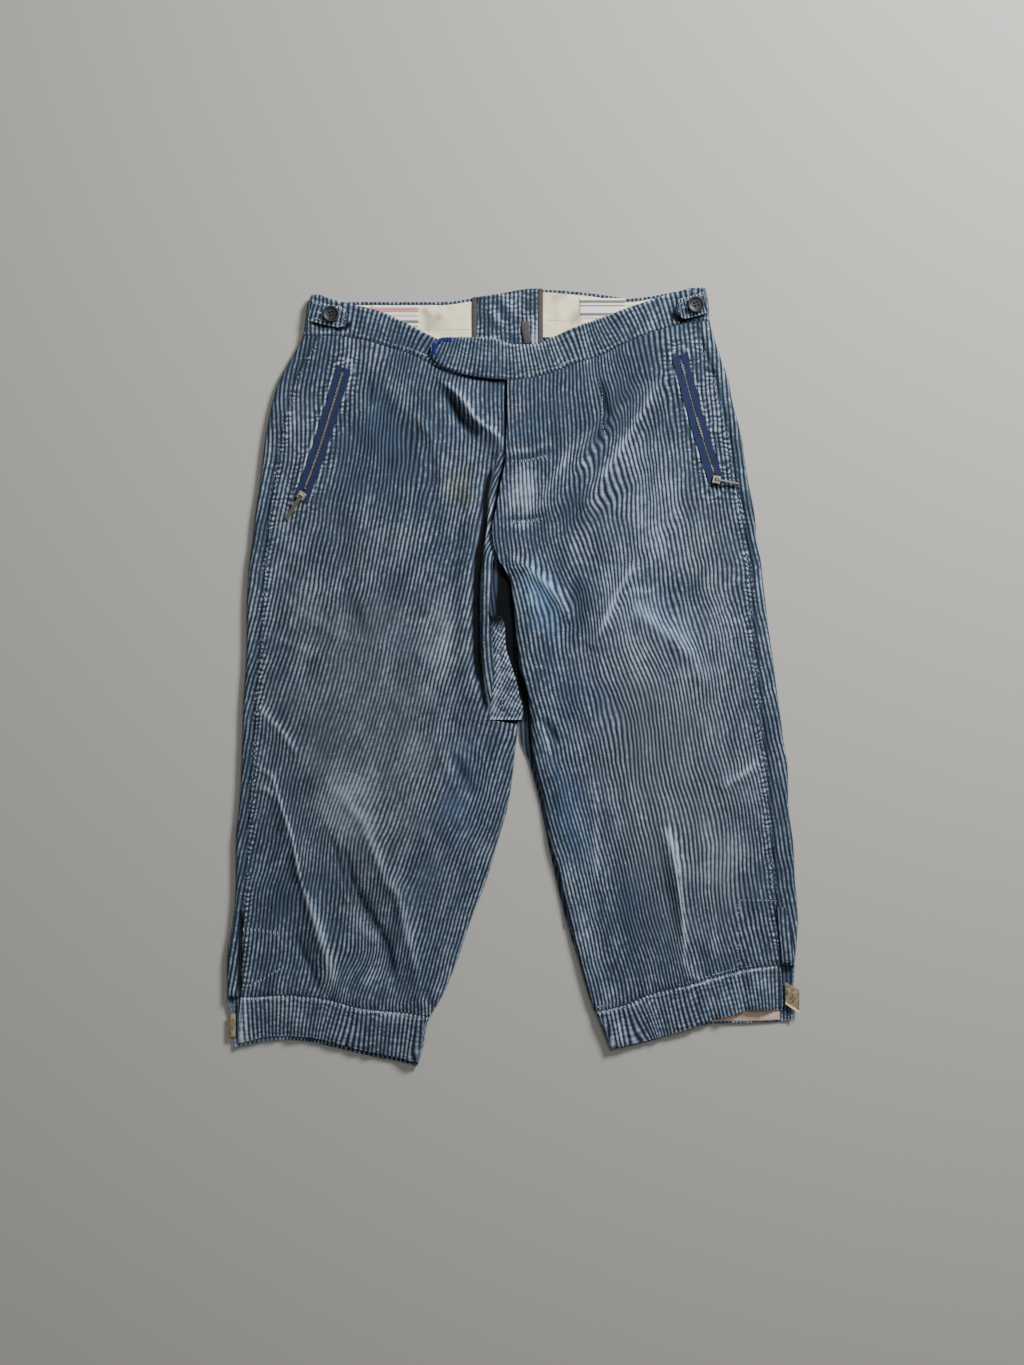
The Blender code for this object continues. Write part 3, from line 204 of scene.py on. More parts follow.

# Folds: height of the ridge, half width, sideways pull on the wales, wear of the crest, which is partly a
# painted highlight and below nought is painted shade in the fold, and the path
Fold = namedtuple("Fold", "name height width pull wear path")
RIGHT_FOLDS = rows_of(Fold, (
    ("fly roll", 5.5, 8, 0, 0, ((-80, 308), (-58, 288), (-40, 262), (-26, 250), (-13, 241), (-9, 222))),
    ("fly valley", -2.0, 7, 0, -0.1, ((-68, 284), (-54, 260), (-36, 240))),
    ("gap crest", 4.6, 9, 0, 0, ((-34, 232), (-43, 160), (-49, 100), (-50, 40), (-44, -30))),
    ("gap", -8.5, 4.2, 0, 0, (
        (-20, 226), (-29, 178), (-33, 140), (-37, 103), (-38, 40), (-36, -2), (-34, -20))),
    ("fork strip", 3.0, 6, 0, 0, ((-21, 190), (-27, 130), (-29, 66), (-26, 0), (-22, -40))),
    ("hip swell", 3.0, 22, 3, 0, ((-123, 329), (-90, 275), (-71, 199))),
    ("pocket swell", 2.4, 14, 0, 0, ((-153, 329), (-137, 305), (-111, 280))),
    ("thigh crease", 2.5, 8, 3, 0.1, ((-259, -35), (-243, -50), (-219, -81))),
    ("knee crease", 4.2, 9, -3, 0, ((-255, -93), (-238, -125), (-220, -180), (-200, -246), (-176, -328))),
    ("knee ridge", 4.0, 10, 3, 0.05, (
        (-156, -160), (-133, -196), (-115, -221), (-105, -266), (-91, -335))),
    ("shin groove", -1.7, 7, 0, 0, ((-176, -172), (-157, -220), (-134, -261), (-121, -318))),
    ("small groove", -1.4, 6, 0, 0, ((-222, -258), (-208, -290), (-195, -327)))))
LEFT_FOLDS = rows_of(Fold, (
    ("thigh fold", 4.5, 12, 9, 0.15, ((152, 305), (132, 271), (112, 234), (95, 208), (68, 168))),
    ("fly drag", 2.2, 10, 6, 0.05, ((98, 262), (66, 217), (29, 159))),
    ("hip fall", 2.4, 12, 5, 0.05, ((143, 237), (150, 178), (129, 121))),
    ("thigh crease", 4.2, 8, 6, 0.1, ((125, 116), (110, 90), (99, 67), (79, 26))),
    ("crotch bulge", 4.0, 9, 7, 0.05, ((-6, 116), (14, 111), (35, 90), (50, 75), (57, 52))),
    ("inner roll", 2.6, 13, 0, 0, ((12, 110), (18, 40), (30, -30), (42, -110))),
    ("thigh swell", 3.2, 12, -6, 0.1, ((122, 68), (154, 44), (188, 15), (198, -28))),
    ("side crease", 3.0, 7, 3, 0.15, ((206, -114), (232, -100), (252, -85))),
    ("shin crease", 5.0, 9, 4, 0, ((152, -145), (163, -186), (171, -225), (174, -280), (184, -322))),
    ("band lift", 4.0, 18, 0, 0, ((205, -352), (240, -338), (275, -338)))))

# Smaller creases that the solids leave out, with the same columns
RIGHT_CREASES = rows_of(Fold, (
    ("fly crest", 1.5, 2.4, 2, 0.75, (
        (-77, 303), (-61, 290), (-48, 277), (-40, 262), (-29, 253), (-19, 247), (-12, 241), (-9, 228))),
    ("fly shade", -1.6, 4.0, 3, -0.75, ((-72, 290), (-62, 276), (-54, 260), (-44, 248), (-36, 241))),
    ("strip edge", 0.6, 1.6, 0, 0.6, (
        (-16, 206), (-19, 196), (-22.5, 181), (-23.5, 160), (-27, 140), (-29.5, 125), (-31.5, 105),
        (-32.5, 60), (-32, 28), (-29.5, 5), (-25, -20))),
    ("dart", -1.2, 2.5, 2, -0.5, ((-146, 305), (-145, 290), (-144, 272))),
    ("dart end", 1.0, 8, 3, 0, ((-146, 276), (-141, 250), (-132, 222))),
    ("hip groove", -1.6, 8, 4, -0.15, ((-136, 278), (-118, 262), (-108, 236), (-100, 190))),
    ("second hip groove", -1.5, 9, -4, -0.2, ((-96, 250), (-84, 226), (-78, 190), (-80, 120))),
    ("left of fly crest", 1.8, 6, 3, 0.12, ((-104, 268), (-84, 244), (-74, 214), (-72, 180))),
    ("thigh line", 1.3, 4, 0, 0.25, ((-262, 45), (-228, 32), (-190, 18))),
    ("mid thigh line", 1.0, 5, 0, 0.15, ((-240, 85), (-215, 62), (-180, 42), (-150, 30))),
    ("upper thigh dimple", -1.6, 7, 3, -0.35, ((-172, 100), (-160, 64), (-148, 38))),
    ("crotch pull", -2.0, 5, -3, -0.6, ((-62, -78), (-50, -100), (-38, -122))),
    ("crotch pull crest", 1.4, 6, -2, 0.05, ((-78, -66), (-64, -100), (-52, -128))),
    ("inner pull", 1.2, 5, 2, 0.1, ((-40, -60), (-28, -90), (-22, -120))),
    ("upper knee crest", 1.2, 2.6, 0, 0.5, ((-262, -30), (-246, -44), (-232, -60), (-219, -80))),
    ("knee crest", 1.5, 1.9, 0, 0.9, (
        (-261, -92), (-244, -102), (-236, -130), (-224, -164), (-217, -203), (-207, -236), (-198, -262))),
    ("knee crest foot", 1.2, 5.2, 0, 0.75, (
        (-212, -216), (-204, -240), (-194, -268), (-188, -290), (-180, -317))),
    ("side of knee crest", 1.0, 2.4, 0, 0.5, ((-262, -112), (-250, -116), (-240, -128))),
    ("second crest", 1.5, 4.2, -2, 0.5, (
        (-165, -134), (-150, -154), (-138, -184), (-130, -208), (-116, -223), (-112, -248), (-105, -272),
        (-98, -297), (-93, -322))),
    ("dark pleat", -2.2, 2.6, 3, -1.0, (
        (-172, -178), (-163, -208), (-150, -236), (-138, -255), (-128, -272), (-121, -300), (-118, -318))),
    ("beside the pleat", -1.2, 2.4, 3, -0.7, ((-194, -152), (-180, -176), (-171, -208), (-160, -234))),
    ("shin pleats", -1.4, 2.6, 2, -0.7, ((-222, -262), (-213, -282), (-205, -300), (-196, -322))),
    ("inner shin pleat", 1.2, 4, 2, 0.2, ((-176, -200), (-166, -232), (-150, -260))),
    ("shin chevron", 1.0, 5, 0, 0.4, ((-176, -236), (-163, -248), (-150, -262), (-138, -268))),
    ("knee patch line", 1.2, 7, 0, 0.2, ((-190, -110), (-160, -140), (-128, -162))),
    ("inner knee line", 1.0, 7, 0, 0.08, ((-96, -150), (-76, -190), (-70, -240))),
    ("band gather", 1.6, 4, 2, 0.3, ((-98, -322), (-88, -336), (-80, -345))),
    ("second band gather", -1.6, 3, 2, -0.5, ((-92, -318), (-82, -332), (-76, -340)))))
LEFT_CREASES = rows_of(Fold, (
    ("dart", -1.4, 3, -3, -0.6, ((88, 300), (93, 282), (99, 262))),
    ("dart foot", -1.2, 5, 4, -0.35, ((94, 262), (88, 248), (84, 236))),
    ("upper bar groove", -1.5, 2.8, 0, -0.5, ((-8, 218), (14, 220), (40, 227))),
    ("upper bar crest", 1.0, 2.6, 0, 0.3, ((-8, 226), (14, 228), (42, 236))),
    ("lower bar groove", -1.3, 2.6, 0, -0.45, ((-14, 159), (8, 158), (34, 162))),
    ("lower bar crest", 0.9, 2.6, 0, 0.3, ((-14, 152), (8, 151), (30, 155))),
    ("fold crest", 1.3, 3.6, 3, 0.34, ((148, 300), (133, 271), (112, 234), (95, 208), (84, 190))),
    ("fold shade", -1.6, 7, 8, -0.25, ((130, 312), (112, 288), (98, 262), (80, 234), (60, 206))),
    ("pocket drag", 1.4, 7, 6, 0.1, ((160, 320), (150, 290), (158, 262), (150, 235))),
    ("drag crest", 1.2, 4, 4, 0.25, ((66, 240), (50, 214), (34, 184), (22, 160))),
    ("drag shade", -1.4, 8, -7, -0.15, ((100, 230), (80, 200), (58, 170), (40, 146))),
    ("second hip groove", -1.3, 9, -7, -0.1, ((144, 220), (122, 192), (96, 170), (70, 140))),
    ("hip wave", 1.3, 10, 6, 0.1, ((178, 200), (160, 160), (140, 140))),
    ("thigh crease crest", 1.2, 2.8, 0, 0.5, ((123, 113), (108, 88), (99, 67), (88, 46), (80, 30))),
    ("crossing line", 0.9, 3, 0, 0.4, ((116, 86), (130, 84), (146, 86))),
    ("thigh wave", 1.2, 8, -5, 0.05, ((190, 120), (170, 80), (166, 40))),
    ("side wave", 1.1, 8, 4, 0.05, ((226, 100), (214, 60), (218, 20))),
    ("swell crest", 1.2, 6, 0, 0.25, ((124, 66), (154, 44), (180, 22), (192, -10))),
    ("crotch crest", 1.2, 4, 3, 0.4, ((0, 116), (14, 110), (30, 96), (44, 80), (52, 64))),
    ("crease foot", -1.5, 6, 5, -0.2, ((76, 78), (64, 50), (58, 20))),
    ("beside the bulge", -1.6, 6, -6, -0.3, ((66, 100), (64, 74), (68, 44))),
    ("break", 1.3, 3.5, 0, 0.1, ((8, 10), (26, 8), (52, 2))),
    ("inner pucker", 1.8, 3.5, 4, 0.35, ((22, -46), (32, -60), (36, -86), (38, -104))),
    ("inner pucker groove", -2.2, 3.2, 4, -0.9, ((30, -44), (40, -56), (46, -70))),
    ("mid leg wave", 1.5, 10, 5, 0.05, ((60, -20), (90, -60), (96, -110))),
    ("mid leg groove", -1.4, 10, -5, -0.1, ((90, -8), (118, -50), (126, -110))),
    ("inner line", 1.4, 4, 3, 0.25, ((80, -96), (84, -140), (84, -190), (82, -250))),
    ("outer leg wave", 1.2, 9, 4, 0.05, ((190, -70), (196, -130), (190, -200))),
    ("side crest", 1.0, 3, 0, 0.5, ((210, -116), (230, -104), (250, -87))),
    ("shin crest", 1.6, 2.4, 0, 0.75, (
        (154, -154), (162, -180), (166, -204), (171, -240), (174, -268), (173, -300))),
    ("shin pale top", 0.8, 6, 0, 0.8, ((156, -154), (164, -176), (168, -204))),
    ("shin shade", -1.6, 6, -2, -0.35, ((142, -150), (152, -190), (160, -232), (164, -270))),
    ("inner shin wave", 1.1, 9, 3, 0.05, ((70, -150), (92, -210), (110, -290))),
    ("band gather", 1.6, 5, 2, 0.3, ((174, -290), (180, -304), (190, -312))),
    ("hem gather", 1.4, 5, 0, 0.15, ((84, -300), (90, -320), (94, -336))),
    ("outer shin line", 0.9, 4, 0, 0.2, ((196, -200), (202, -240), (206, -290)))))

# Painted shade laid along gaps on the right front, under the lap tab and in the slits, as near-black cloth:
# how dark, half width and path
Gap = namedtuple("Gap", "name strength width path")
GAP_SHADES = rows_of(Gap, (
    ("beside the fork", 2.4, 1.8, (
        (-20, 214), (-25, 198), (-28, 181), (-29, 156), (-31, 140), (-34, 125), (-36, 105), (-37, 60),
        (-36.5, 28), (-34, 5), (-30, -20), (-26, -38))),
    ("wide part beside the fork", 2.2, 3.6, ((-32, 134), (-36, 105), (-37.5, 60), (-36.5, 20), (-34, -8))),
    ("under the lap tab", 2.4, 1.8, ((-76, 313), (-62, 308), (-49, 304), (-26, 300), (-4, 298))),
    ("fly slit", 2.2, 1.5, ((-6, 303), (-6, 270), (-6, 222), (-13, 199), (-17, 173), (-21, 153))),
    ("fork top", 1.8, 3.5, ((-11, 150), (-10, 128), (-8, 100), (-8, 72))),
    ("right slit", 1.0, 1.5, ((-276, -236), (-277, -262), (-278, -300), (-278, -326))),
    ("pinch", 1.4, 1.2, ((-26, 157), (-20, 158), (-14, 156)))))

# Places where the wales lean: centre, half sizes, and the lean, which is above nought for a rising stroke
Twist = namedtuple("Twist", "name x y across along lean")
RIGHT_TWISTS = rows_of(Twist, (
    ("left of the chevron", -192, -298, 10, 18, -0.4),
    ("right of the chevron", -158, -300, 18, 20, 0.3),
    ("under the waist", -232, 325, 40, 40, 0.25),
    ("beside the fly", -62, 325, 40, 40, 0.2),
    ("hip", -122, 285, 14, 40, 0.2),
    ("thigh", -162, -45, 40, 40, 0.12),
    ("outer thigh", -262, 15, 40, 40, 0.12),
    ("inner crotch", -42, -85, 24, 40, -0.2),
    ("beside the knee crest", -172, -192, 26, 40, -0.34),
    ("below the knee", -152, -255, 40, 40, -0.17),
    ("low side", -212, -255, 40, 40, -0.12)))
LEFT_TWISTS = rows_of(Twist, (
    ("beside the dart", 117, 300, 26, 40, -0.42),
    ("hip ridge", 130, 225, 20, 40, -0.2),
    ("dart foot", 97, 265, 14, 24, -0.2),
    ("upper crotch", 77, 155, 24, 24, -0.26),
    ("crotch", 57, 110, 24, 40, -0.3),
    ("beside the bulge", 57, 85, 14, 24, -0.22),
    ("thigh swell", 147, 25, 24, 40, -0.28),
    ("outer thigh", 207, 65, 14, 24, -0.2),
    ("mid leg", 117, -85, 24, 40, 0.16),
    ("outer shin", 205, -195, 30, 50, 0.25),
    ("inner shin", 137, -275, 24, 40, -0.14)))

# The middle line of each leg's grain, as (y, x), and how close the wales lie on each side of it
RIGHT_SPINE = (
    (390, -118), (321, -120), (230, -127), (117, -149), (-5, -178), (-128, -209), (-230, -232), (-332, -250))
LEFT_SPINE = (
    (390, 112), (342, 117), (230, 127), (117, 146), (-5, 172), (-128, 198), (-230, 218), (-332, 236))
RIGHT_SPREAD = (((344, 1.0), (0, 1.0), (-332, 0.92)), ((344, 0.94), (100, 1.0), (-60, 1.0), (-332, 0.86)))
LEFT_SPREAD = (((344, 0.88), (140, 1.0), (0, 1.0), (-332, 0.86)), ((344, 1.0), (-332, 0.95)))

# Worn, stained and clean places: centre, half sizes, turn in degrees, wear, and tint with its share
Patch = namedtuple("Patch", "name x y across along turn wear tint share")
PATCHES = rows_of(Patch, (
    ("green stain", -56, 192, 17, 21, 20, 0.08, "#8f934c", 0.5),
    ("lower green stain", -117, 141, 14, 11, 0, 0.0, "#6f7c50", 0.45),
    ("brown stain", -214, 56, 12, 16, 0, 0.0, "#6d6a42", 0.5),
    ("grey leg", -150, -50, 125, 220, 10, 0.1, "#5c6166", 0.85),
    ("dark hip", -150, 230, 60, 60, 0, -0.16, "#4c6484", 0.3),
    ("pale hip crest", -102, 270, 13, 44, 40, 0.2, "#a4b6c8", 0.1),
    ("dark hip groove", -130, 240, 15, 50, 20, -0.2, "#3f5676", 0.3),
    ("dark thigh", -110, 60, 60, 60, 0, -0.12, "#5d656c", 0.3),
    ("pale thigh", -72, 34, 24, 48, 4, 0.26, "#a9b8c4", 0.1),
    ("pale knee", -176, -130, 40, 44, 20, 0.26, "#a3b3c4", 0.1),
    ("dark low leg", -230, -240, 40, 70, 10, -0.04, "#3d4f6b", 0.3),
    ("dark inner low leg", -100, -250, 40, 90, -16, -0.08, "#3d4f6b", 0.4),
    ("blue inner knee", -50, -120, 30, 70, -12, -0.05, "#46608a", 0.5),
    ("pocket rub", -214, 250, 22, 70, 14, 0.14, "#9fb0c2", 0.1),
    ("blue crotch", 28, 80, 24, 42, 20, 0.24, "#6f9cd0", 0.75),
    ("blue thigh", 150, 56, 66, 34, -38, 0.18, "#7d9fc8", 0.5),
    ("pale hip", 125, 170, 60, 80, -30, 0.2, "#a4b6c8", 0.2),
    ("pale low fly", 10, 186, 24, 34, 4, 0.6, "#a2b7cb", 0.15),
    ("grey side", 200, 130, 30, 70, 8, 0.0, "#868e96", 0.35),
    ("grey left leg", 160, -90, 100, 190, 4, 0.0, "#a1a9b2", 0.5),
    ("pale left thigh", 110, 30, 60, 50, 0, 0.14, "#a4b0bc", 0.2),
    ("dark fly", 20, 250, 26, 26, 0, -0.14, "#46607f", 0.3),
    ("dark mid leg", 70, -20, 36, 50, 10, -0.12, "#41587a", 0.4),
    ("pale shin", 205, -190, 30, 70, 6, 0.08, "#9aa4b0", 0.5),
    ("blue inner shin", 62, -150, 18, 90, 12, 0.02, "#5c82b2", 0.4),
    ("dark shin", 120, -240, 34, 54, 12, -0.14, "#3d5070", 0.4)))

# Painted shadow under each side tab, and below nought the pale places of the right knee band: wear at its
# end, and painted light on the strip of hem below its edge
BAND_PAINTED_LIGHT_AND_WEAR = rows_of(Gap, (
    ("under the right tab", 1.6, 1.7, (
        (-206, 359), (-190, 354.5), (-177, 351.5), (-168, 354), (-165, 360))),
    ("under the left tab", 1.8, 2.2, ((196, 366), (182, 362), (170, 360), (164, 364), (162, 370))),
    ("pale end of the right knee band", -0.4, 8, ((-276, -318), (-275, -350), (-273, -382))),
    ("pale part of the right hem", -0.9, 4.5, ((-300, -378), (-279, -378), (-257, -373), (-222, -371)))))

# A leg: its tables, the sign of X towards its outer edge, the top of its slit, and the stretches in y over
# which the front's and the back's inner edges come to roll down and the swell beside them comes in
Leg = namedtuple(
    "Leg", "name outline folds creases twists spine spread knee_seam way slit_y front_roll back_roll rise")
LEGS = {
    "right": Leg("right", RIGHT_OUTLINE, RIGHT_FOLDS, RIGHT_CREASES, RIGHT_TWISTS, RIGHT_SPINE, RIGHT_SPREAD,
                 KNEE_SEAM_RIGHT, -1, -240.0, (-47.0, -55.0), (-50.0, -74.0), (-47.0, -67.0)),
    "left": Leg("left", LEFT_OUTLINE, LEFT_FOLDS, LEFT_CREASES, LEFT_TWISTS, LEFT_SPINE, LEFT_SPREAD,
                KNEE_SEAM_LEFT, 1, -229.0, (112.0, 88.0), (-225.0, -280.0), (73.0, 13.0)),
}

# Each pocket's zip: its path, and the width and thickness of its tape
ZIP_PATHS = {
    "right": ((-171.6, 312), (-184, 271), (-196, 232), (-207, 201), (-216, 177)),
    "left": ((169, 325), (176, 299), (185.5, 264), (196, 230), (207.5, 194)),
}
TAPE_WIDTH = 15.0
TAPE_WALL = 0.9


def linear(code):
    """A hex sRGB colour as linear red, green and blue."""
    parts = [int(code[i:i + 2], 16) / 255 for i in (1, 3, 5)]
    return tuple(p / 12.92 if p <= 0.04045 else ((p + 0.055) / 1.055) ** 2.4 for p in parts)


def metres(points):
    """Points of the shape, in millimetres, as places in the frame."""
    return (np.asarray(points, float) - CENTRE) * 0.001


def smooth_line(xs, ys, x):
    """Cubic through the points, with each slope the mean of its neighbours' slopes, flat past the ends."""
    xs = np.asarray(xs, float)
    ys = np.asarray(ys, float)
    order = np.argsort(xs)
    xs, ys = xs[order], ys[order]
    steps = np.diff(ys) / np.diff(xs)
    slopes = np.concatenate(([steps[0]], (steps[1:] + steps[:-1]) / 2, [steps[-1]]))
    turns = np.concatenate(([False], steps[1:] * steps[:-1] <= 0, [False]))
    slopes[turns] = 0.0
    limit = 3 * np.minimum(np.abs(np.append(steps, steps[-1])), np.abs(np.insert(steps, 0, steps[0])))
    slopes = np.clip(slopes, -limit, limit)
    x = np.clip(np.asarray(x, float), xs[0], xs[-1])
    i = np.clip(np.searchsorted(xs, x) - 1, 0, len(xs) - 2)
    width = xs[i + 1] - xs[i]
    t = (x - xs[i]) / width
    return ((2 * t ** 3 - 3 * t ** 2 + 1) * ys[i] + (t ** 3 - 2 * t ** 2 + t) * width * slopes[i]
            + (3 * t ** 2 - 2 * t ** 3) * ys[i + 1] + (t ** 3 - t ** 2) * width * slopes[i + 1])


def line_at(line, place):
    """The second number of a line of pairs, at the places given for the first."""
    return smooth_line([p[0] for p in line], [p[1] for p in line], place)


def edge(outline, column, y):
    """An outline's column at the heights y."""
    return smooth_line([row.y for row in outline], [getattr(row, column) for row in outline], y)


def ramp(value, start, end):
    """Smooth step from 0 at start to 1 at end."""
    t = np.clip((np.asarray(value, float) - start) / (end - start), 0, 1)
    return t * t * (3 - 2 * t)


def near(gap, reach):
    """Bell of a distance: 1 where it is nought, and e to the power -1 at the reach."""
    return np.exp(-(gap / reach) ** 2)


def noise(x, y, size, seed):
    """Smooth noise from -1 to 1: random values on a square lattice, eased from one to the next."""
    lattice = np.random.default_rng(seed).uniform(-1, 1, (64, 64))
    u = np.asarray(x, float) / size + 20
    v = np.asarray(y, float) / size + 20
    i = np.floor(u).astype(int)
    j = np.floor(v).astype(int)
    s = ramp(u - i, 0, 1)
    t = ramp(v - j, 0, 1)
    low = lattice[i % 64, j % 64] * (1 - s) + lattice[(i + 1) % 64, j % 64] * s
    high = lattice[i % 64, (j + 1) % 64] * (1 - s) + lattice[(i + 1) % 64, (j + 1) % 64] * s
    return low * (1 - t) + high * t


def unit(vectors):
    """The vectors at a length of one."""
    return vectors / np.maximum(np.linalg.norm(vectors, axis=-1, keepdims=True), 1e-9)


def running(points):
    """Running length along a row of points in x and y."""
    return np.concatenate(([0], np.cumsum(np.hypot(*np.diff(points, axis=0).T))))


def sideways(ways):
    """Level vectors square to the ways, to their left."""
    return np.stack([-ways[:, 1], ways[:, 0], 0 * ways[:, 0]], axis=1)


def path_distance(path, x, y):
    """Distance from (x, y) to the path, and the share of the path that lies before its nearest point."""
    points = np.asarray(path, float)
    lengths = np.hypot(*np.diff(points, axis=0).T)
    total = lengths.sum()
    best = np.full(np.shape(x), np.inf)
    share = np.zeros(np.shape(x))
    before = 0.0
    for start, stop, length in zip(points[:-1], points[1:], lengths):
        way = (stop - start) / length
        t = np.clip((x - start[0]) * way[0] + (y - start[1]) * way[1], 0, length)
        gap = np.hypot(x - start[0] - t * way[0], y - start[1] - t * way[1])
        nearer = gap < best
        best = np.where(nearer, gap, best)
        share = np.where(nearer, (before + t) / total, share)
        before += length
    return best, share


def fold_bells(table, x, y):
    """Each fold's bell across its path, times the half circle that its height follows along it."""
    for fold in table:
        gap, share = path_distance(fold.path, x, y)
        swell = np.sqrt(np.clip(4 * share * (1 - share), 0, 1))
        yield fold, swell * near(gap, fold.width)


def fold_height(table, x, y):
    """Sum of the table's folds, each its height times its bell."""
    return sum(fold.height * bell for fold, bell in fold_bells(table, x, y))


def solid_height(leg, x, y):
    """Outer height of a leg's upper side, as its solid has it: the panel's height, plus a swell towards each
    edge, plus the folds, and no higher than the slope on which the right front tucks under the fly."""
    inner = edge(leg.outline, "inner", y)
    height = PANEL_HEIGHT + EDGE_RISE * near(x - edge(leg.outline, "outer", y), EDGE_REACH)
    height = height + EDGE_RISE * ramp(y, *leg.rise) * near(x - inner, EDGE_REACH)
    if leg.name == "left":
        fly = ramp(y, FLY_END_Y - 20, FLY_END_Y)
        height = height + FLY_RISE * fly * near(x - inner, FLY_REACH)
    height = height + fold_height(leg.folds, x, y)
    if leg.name == "right":
        height = np.minimum(height, TUCK_HEIGHT + TUCK_SLOPE * np.clip(fly_room(x, y), 0, TUCK_REACH))
    return np.maximum(height, LOWEST_FRONT)


def fly_room(x, y):
    """How far a place on the right front lies clear of the fly edge that laps over it."""
    return edge(LEFT_OUTLINE, "inner", y) - TUCK_CLEARANCE - x


def seam_gap(leg, x, y):
    """Distances to the waist seam, the side seam and the knee seam."""
    waist = np.abs(line_at(WAIST_SEAM, x) - y)
    side = np.abs(edge(leg.outline, "seam", y) - x)
    knee = np.abs(line_at(leg.knee_seam, x) - y)
    return waist, side, knee


def puckers(place, gap, size, height, seed):
    """Uneven puckers along a seam, which fade with the distance from it."""
    return height * noise(place, 0.4 * gap, size, seed) * np.exp(-gap / 9)


def seam_relief(leg, x, y):
    """Valleys at the seams, and the puckers that their stitches draw."""
    waist, side, knee = seam_gap(leg, x, y)
    relief = -0.8 * near(waist, 2.2) - 1.0 * near(side, 2.0) - 1.3 * near(knee, 2.2)
    relief = relief + puckers(x, waist, 9, 0.9, 5) + puckers(x, knee, 8, 1.1, 6)
    return relief + puckers(y, side, 7, 0.5, 7)


def small_relief(leg, x, y):
    """What the cloth has over its solid: small creases and three sizes of soft crumple, which fade towards
    the zip, plus the seams' relief and the pocket's lips. All fade under the fly and on a rolled edge."""
    relief = fold_height(leg.creases, x, y)
    relief = relief + 1.5 * noise(x + 0.3 * y, 0.5 * y, 34, 11) + 0.9 * noise(x, 0.6 * y, 15, 12)
    relief = relief + 0.35 * noise(x, 0.8 * y, 8, 13)
    gap, _ = path_distance(ZIP_PATHS[leg.name], x, y)
    relief = relief * ramp(gap, 9, 26) + seam_relief(leg, x, y)
    relief = relief + 0.9 * near(gap - TAPE_WIDTH / 2 - 2.2, 1.7)
    if leg.name == "right":
        relief = relief * ramp(fly_room(x, y), 3, 16)
    inner = np.abs(x - edge(leg.outline, "inner", y))
    rolled = ramp(y, *leg.front_roll)
    return relief * (1 - rolled * (1 - ramp(inner, 7, 18)))


def upper_height(leg, x, y):
    """Height of the cloth on a leg's upper side."""
    return solid_height(leg, x, y) + small_relief(leg, x, y)


def grain_at(leg, x, y):
    """Place across the wales: the distance from the spine over the spread, plus what the folds draw it
    sideways, less the lean of each twist, and a little uneven. The strip at the fork has its own."""
    away = x - line_at(leg.spine, y)
    left, right = (np.interp(y, *np.array(side[::-1]).T) for side in leg.spread)
    across = away / np.where(away < 0, left, right)
    for table, share in ((leg.folds, FOLD_PULL), (leg.creases, CREASE_PULL)):
        for fold, bell in fold_bells(table, x, y):
            across = across + share * fold.pull * bell
    for twist in leg.twists:
        reach = ((x - twist.x) / twist.across) ** 2 + ((y - twist.y) / twist.along) ** 2
        across = across - twist.lean * (y - twist.y) * np.exp(-reach / 2)
    if leg.name == "right":
        beside = x - line_at(FORK_GAP, y)
        strip = beside - 0.3 * (y - FORK_TURN_Y[0]) * ramp(y, *FORK_TURN_Y)
        across = np.where((beside > 0) & (y < FORK_GAP[0][0]) & (y > CROTCH_Y - CROTCH_STEP), strip, across)
    return across + 1.5 * noise(x, y, 60, 21) + 0.9 * noise(x, y, 22, 22) + 0.35 * noise(x, y, 8, 23)


def rungs_at(leg, x, y):
    """How far the wales are broken across by the sewing: a bell on the side seam, plus a ramp to the zip."""
    side = x - edge(leg.outline, "seam", y) + 3 * leg.way
    gap, _ = path_distance(ZIP_PATHS[leg.name], x, y)
    return np.clip(1.5 * near(side, 5.5) + ramp(gap - TAPE_WIDTH / 2, 19, 3), 0, 1.4)


